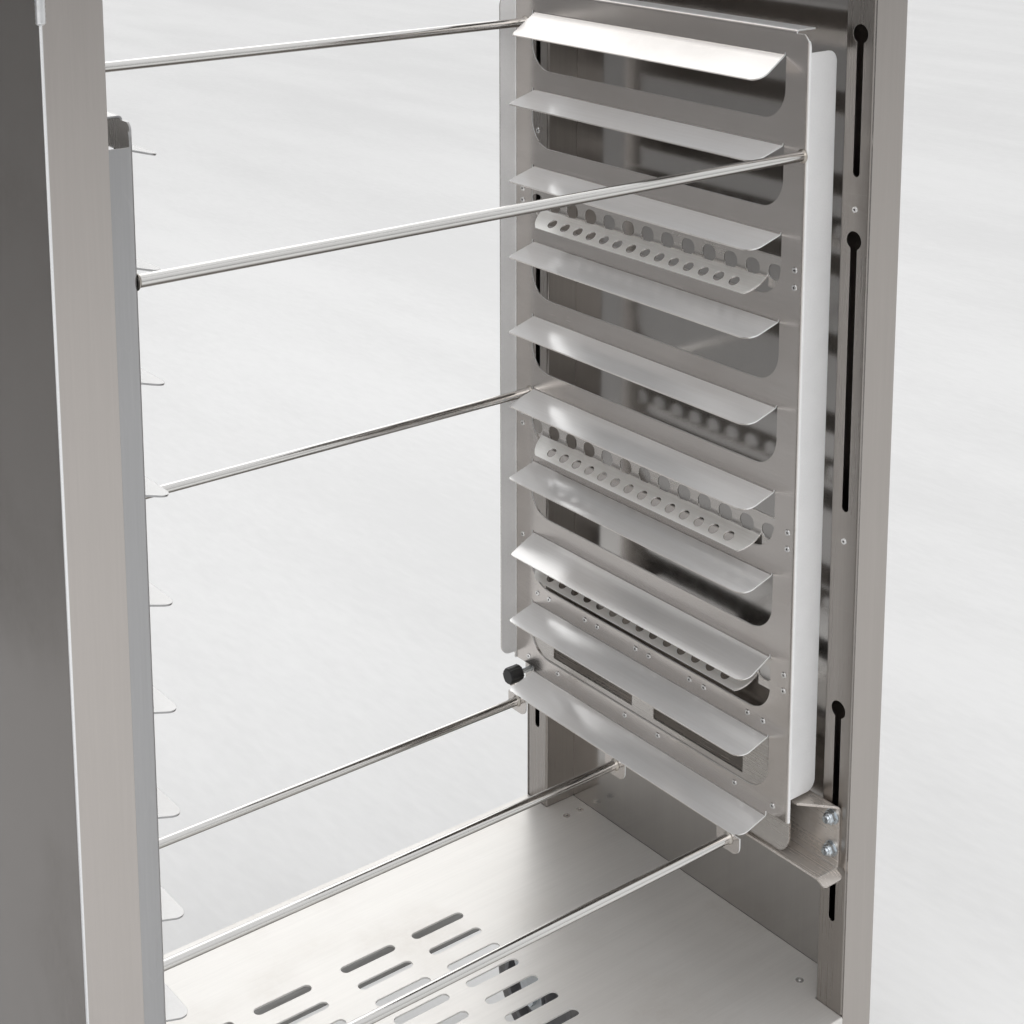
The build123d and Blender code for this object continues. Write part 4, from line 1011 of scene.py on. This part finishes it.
@dataclass
class Studio:
    """Pale floor, bright surroundings, dark screens and the camera at the photograph's angle.

    Attributes:
        floor_size: Length of the floor's sides in metres.
        floor_colour: The floor's middle colour.
        shaded_floor: Its colour far in front of the trolley, darkened there as painted shade.
        shade_starts: How far in front, in metres, it begins to darken.
        shade_full: How far in front it is fully dark.
        cloud_turn: Direction in which the floor's clouds are drawn out, in radians.
        cloud_stretch: How much less often the clouds repeat along that direction.
        speck_share: How much of the mottling is fine specks.
        cloud_low: The darkest clouds, as a share of the middle colour.
        cloud_high: The lightest clouds, as a share of the middle colour.
        horizon: The air's colour at eye level.
        zenith: Its colour overhead.
        patches: Bright and dark places in the air.
        screens: Screens that only reflections show.
        camera_place: Where the camera stands.
        camera_turn: How it is turned, in degrees.
        lens: Its focal length in millimetres.
        shift: How far its picture is shifted, in widths of the picture.
        lamps: Place, target, size in metres and power in watts of each lamp.
    """

    floor_size: float = 60.0
    floor_colour: Colour = (0.87, 0.87, 0.865)
    shaded_floor: Colour = (0.22, 0.22, 0.22)
    shade_starts: float = 2.6
    shade_full: float = 10.0
    cloud_turn: float = 0.62
    cloud_stretch: float = 0.28
    speck_share: float = 0.25
    cloud_low: float = 0.955
    cloud_high: float = 1.04
    horizon: Colour = (0.62, 0.62, 0.62)
    zenith: Colour = (0.85, 0.85, 0.86)
    patches: tuple[SkyPatch, ...] = (
        SkyPatch((0.33, 0.75, 0.57), (1.2, 1.2, 1.19), 0.96, 0.66),
        SkyPatch((-0.66, 0.66, 0.36), (0.42, 0.42, 0.43), 0.97, 0.80),
    )
    screens: tuple[Screen, ...] = (
        Screen("rear_left_screen", (-1.0, 1.15, 0.75), (0.55, -0.83, 0.0), (3.4, 1.5), 0.18, 0.44),
        Screen("left_mat", (-1.7, 0.55, 0.004), (0.0, 0.0, 1.0), (2.6, 2.0), 0.5, 0.5),
    )
    camera_place: Point = (-0.70254, -1.02827, 1.17901)
    camera_turn: Point = (79.902, -0.076, -38.43)
    lens: float = 63.469
    shift: tuple[float, float] = (-0.02389, -0.41296)
    lamps: dict[str, tuple[Point, Point, float, float]] = field(default_factory=lambda: {
        "key": ((0.95, 2.3, 2.7), (0.0, 0.0, 0.6), 2.0, 9.0),
        "fill": ((-1.9, -1.6, 2.3), (0.2, 0.0, 0.7), 2.0, 16.0),
    })

    def build_floor(self) -> None:
        """Lay the floor, pale concrete with faint clouds in it and painted shade that darkens it far in
        front.
        """
        bpy.ops.mesh.primitive_grid_add(x_subdivisions=8, y_subdivisions=8, size=self.floor_size)
        floor = bpy.context.object
        floor.name = "floor"
        material = bpy.data.materials.new("pale_floor")
        material.use_nodes = True
        nodes = NodeTree(material.node_tree)
        shader = material.node_tree.nodes["Principled BSDF"]
        place = nodes.add("TexCoord").outputs["Object"]
        drawn_out = nodes.add("Mapping")
        drawn_out.inputs["Rotation"].default_value = (0.0, 0.0, self.cloud_turn)
        drawn_out.inputs["Scale"].default_value = (1.0, self.cloud_stretch, 1.0)
        nodes.join(place, drawn_out.inputs["Vector"])
        clouds = nodes.noise(drawn_out.outputs["Vector"], 2.2, 6.0, 0.62)
        specks = nodes.noise(drawn_out.outputs["Vector"], 90.0, 3.0, 0.6)
        cloudy = nodes.maths("MULTIPLY", clouds, 1.0 - self.speck_share)
        mixed = nodes.maths("ADD", cloudy, nodes.maths("MULTIPLY", specks, self.speck_share))
        low = tuple(self.cloud_low * part for part in self.floor_colour)
        high = tuple(min(1.0, self.cloud_high * part) for part in self.floor_colour)
        tone = nodes.spread(mixed, 0.35, 0.65, 0.0, 1.0)
        lit = nodes.blend(tone, (*low, 1.0), (*high, 1.0))
        parts = nodes.add("SeparateXYZ")
        nodes.join(place, parts.inputs[0])
        far_front = nodes.spread(parts.outputs["Y"], -self.shade_full, -self.shade_starts, 1.0, 0.0)
        nodes.join(nodes.blend(far_front, lit, (*self.shaded_floor, 1.0)), shader.inputs["Base Color"])
        shader.inputs["Roughness"].default_value = 0.6
        shader.inputs["Specular IOR Level"].default_value = 0.2
        floor.data.materials.append(material)

    def build_screens(self) -> None:
        """Stand the screens where shiny faces reflect them and nothing else meets them."""
        for screen in self.screens:
            bpy.ops.mesh.primitive_plane_add(size=1.0, location=screen.centre)
            card = bpy.context.object
            card.name = screen.name
            card.rotation_euler = Vector(screen.faces).to_track_quat("Z", "Y").to_euler()
            card.scale = (*screen.size, 1.0)
            material = bpy.data.materials.new(f"{screen.name}_cloth")
            material.use_nodes = True
            nodes = NodeTree(material.node_tree)
            shader = material.node_tree.nodes["Principled BSDF"]
            place = nodes.add("TexCoord").outputs["Object"]
            parts = nodes.add("SeparateXYZ")
            nodes.join(place, parts.inputs[0])
            waver = nodes.maths("MULTIPLY", nodes.noise(place, 3.0, 3.0), 0.2)
            rising = nodes.maths("ADD", parts.outputs["Y"], waver)
            rise = nodes.spread(rising, -0.4, 0.6, 0.0, 1.0)
            low = (*(screen.low_tone,) * 3, 1.0)
            high = (*(screen.tone,) * 3, 1.0)
            nodes.join(nodes.blend(rise, low, high), shader.inputs["Base Color"])
            shader.inputs["Roughness"].default_value = 1.0
            card.data.materials.append(material)
            card.visible_camera = False
            card.visible_diffuse = False
            card.visible_shadow = False
            card.visible_transmission = False

    def build_world(self) -> None:
        """Light from all round, with a bright patch behind the trolley and a dark one to its left."""
        world = bpy.data.worlds.new("studio_air")
        bpy.context.scene.world = world
        world.use_nodes = True
        nodes = NodeTree(world.node_tree)
        backdrop = world.node_tree.nodes["Background"]
        direction = nodes.add("TexCoord").outputs["Generated"]
        parts = nodes.add("SeparateXYZ")
        nodes.join(direction, parts.inputs[0])
        height = nodes.spread(parts.outputs["Z"], 0.0, 0.8, 0.0, 1.0)
        sky = nodes.blend(height, (*self.horizon, 1.0), (*self.zenith, 1.0))
        for patch in self.patches:
            near = nodes.add("VectorMath", operation="DOT_PRODUCT")
            nodes.join(direction, near.inputs[0])
            near.inputs[1].default_value = Vector(patch.towards).normalized()
            cover = nodes.spread(near.outputs["Value"], patch.outer, patch.inner, 0.0, 1.0)
            sky = nodes.blend(cover, sky, (*patch.colour, 1.0))
        nodes.join(sky, backdrop.inputs["Color"])

    def build_lamps(self) -> None:
        """Hang the lamps, each a square that faces its target."""
        for name, (place, target, size, power) in self.lamps.items():
            lamp = bpy.data.lights.new(name, "AREA")
            lamp.shape = "SQUARE"
            lamp.size = size
            lamp.energy = power
            holder = bpy.data.objects.new(name, lamp)
            holder.location = place
            facing = Vector(target) - Vector(place)
            holder.rotation_euler = facing.to_track_quat("-Z", "Y").to_euler()
            bpy.context.collection.objects.link(holder)

    def build_camera(self) -> None:
        """Stand the camera where the photograph was taken from."""
        camera = bpy.data.cameras.new("photo_camera")
        camera.sensor_fit = "HORIZONTAL"
        camera.sensor_width = 36.0
        camera.lens = self.lens
        camera.shift_x, camera.shift_y = self.shift
        camera.clip_end = 200.0
        holder = bpy.data.objects.new("photo_camera", camera)
        holder.location = self.camera_place
        holder.rotation_euler = tuple(math.radians(angle) for angle in self.camera_turn)
        bpy.context.collection.objects.link(holder)
        bpy.context.scene.camera = holder

    def build(self) -> None:
        """Set up the whole studio."""
        bpy.context.scene.view_settings.view_transform = "Standard"
        self.build_floor()
        self.build_screens()
        self.build_world()
        self.build_lamps()
        self.build_camera()


def main() -> None:
    """Dress the trolley and build the studio round it."""
    logging.basicConfig(level=logging.INFO, format="%(name)s %(message)s")
    wardrobe = Wardrobe()
    for assembly in (OuterFrame(), GuideRails(), TrayRack(), ClampScrews(), Castors()):
        assembly.dress(wardrobe)
    Studio().build()


if __name__ == "__main__":
    main()
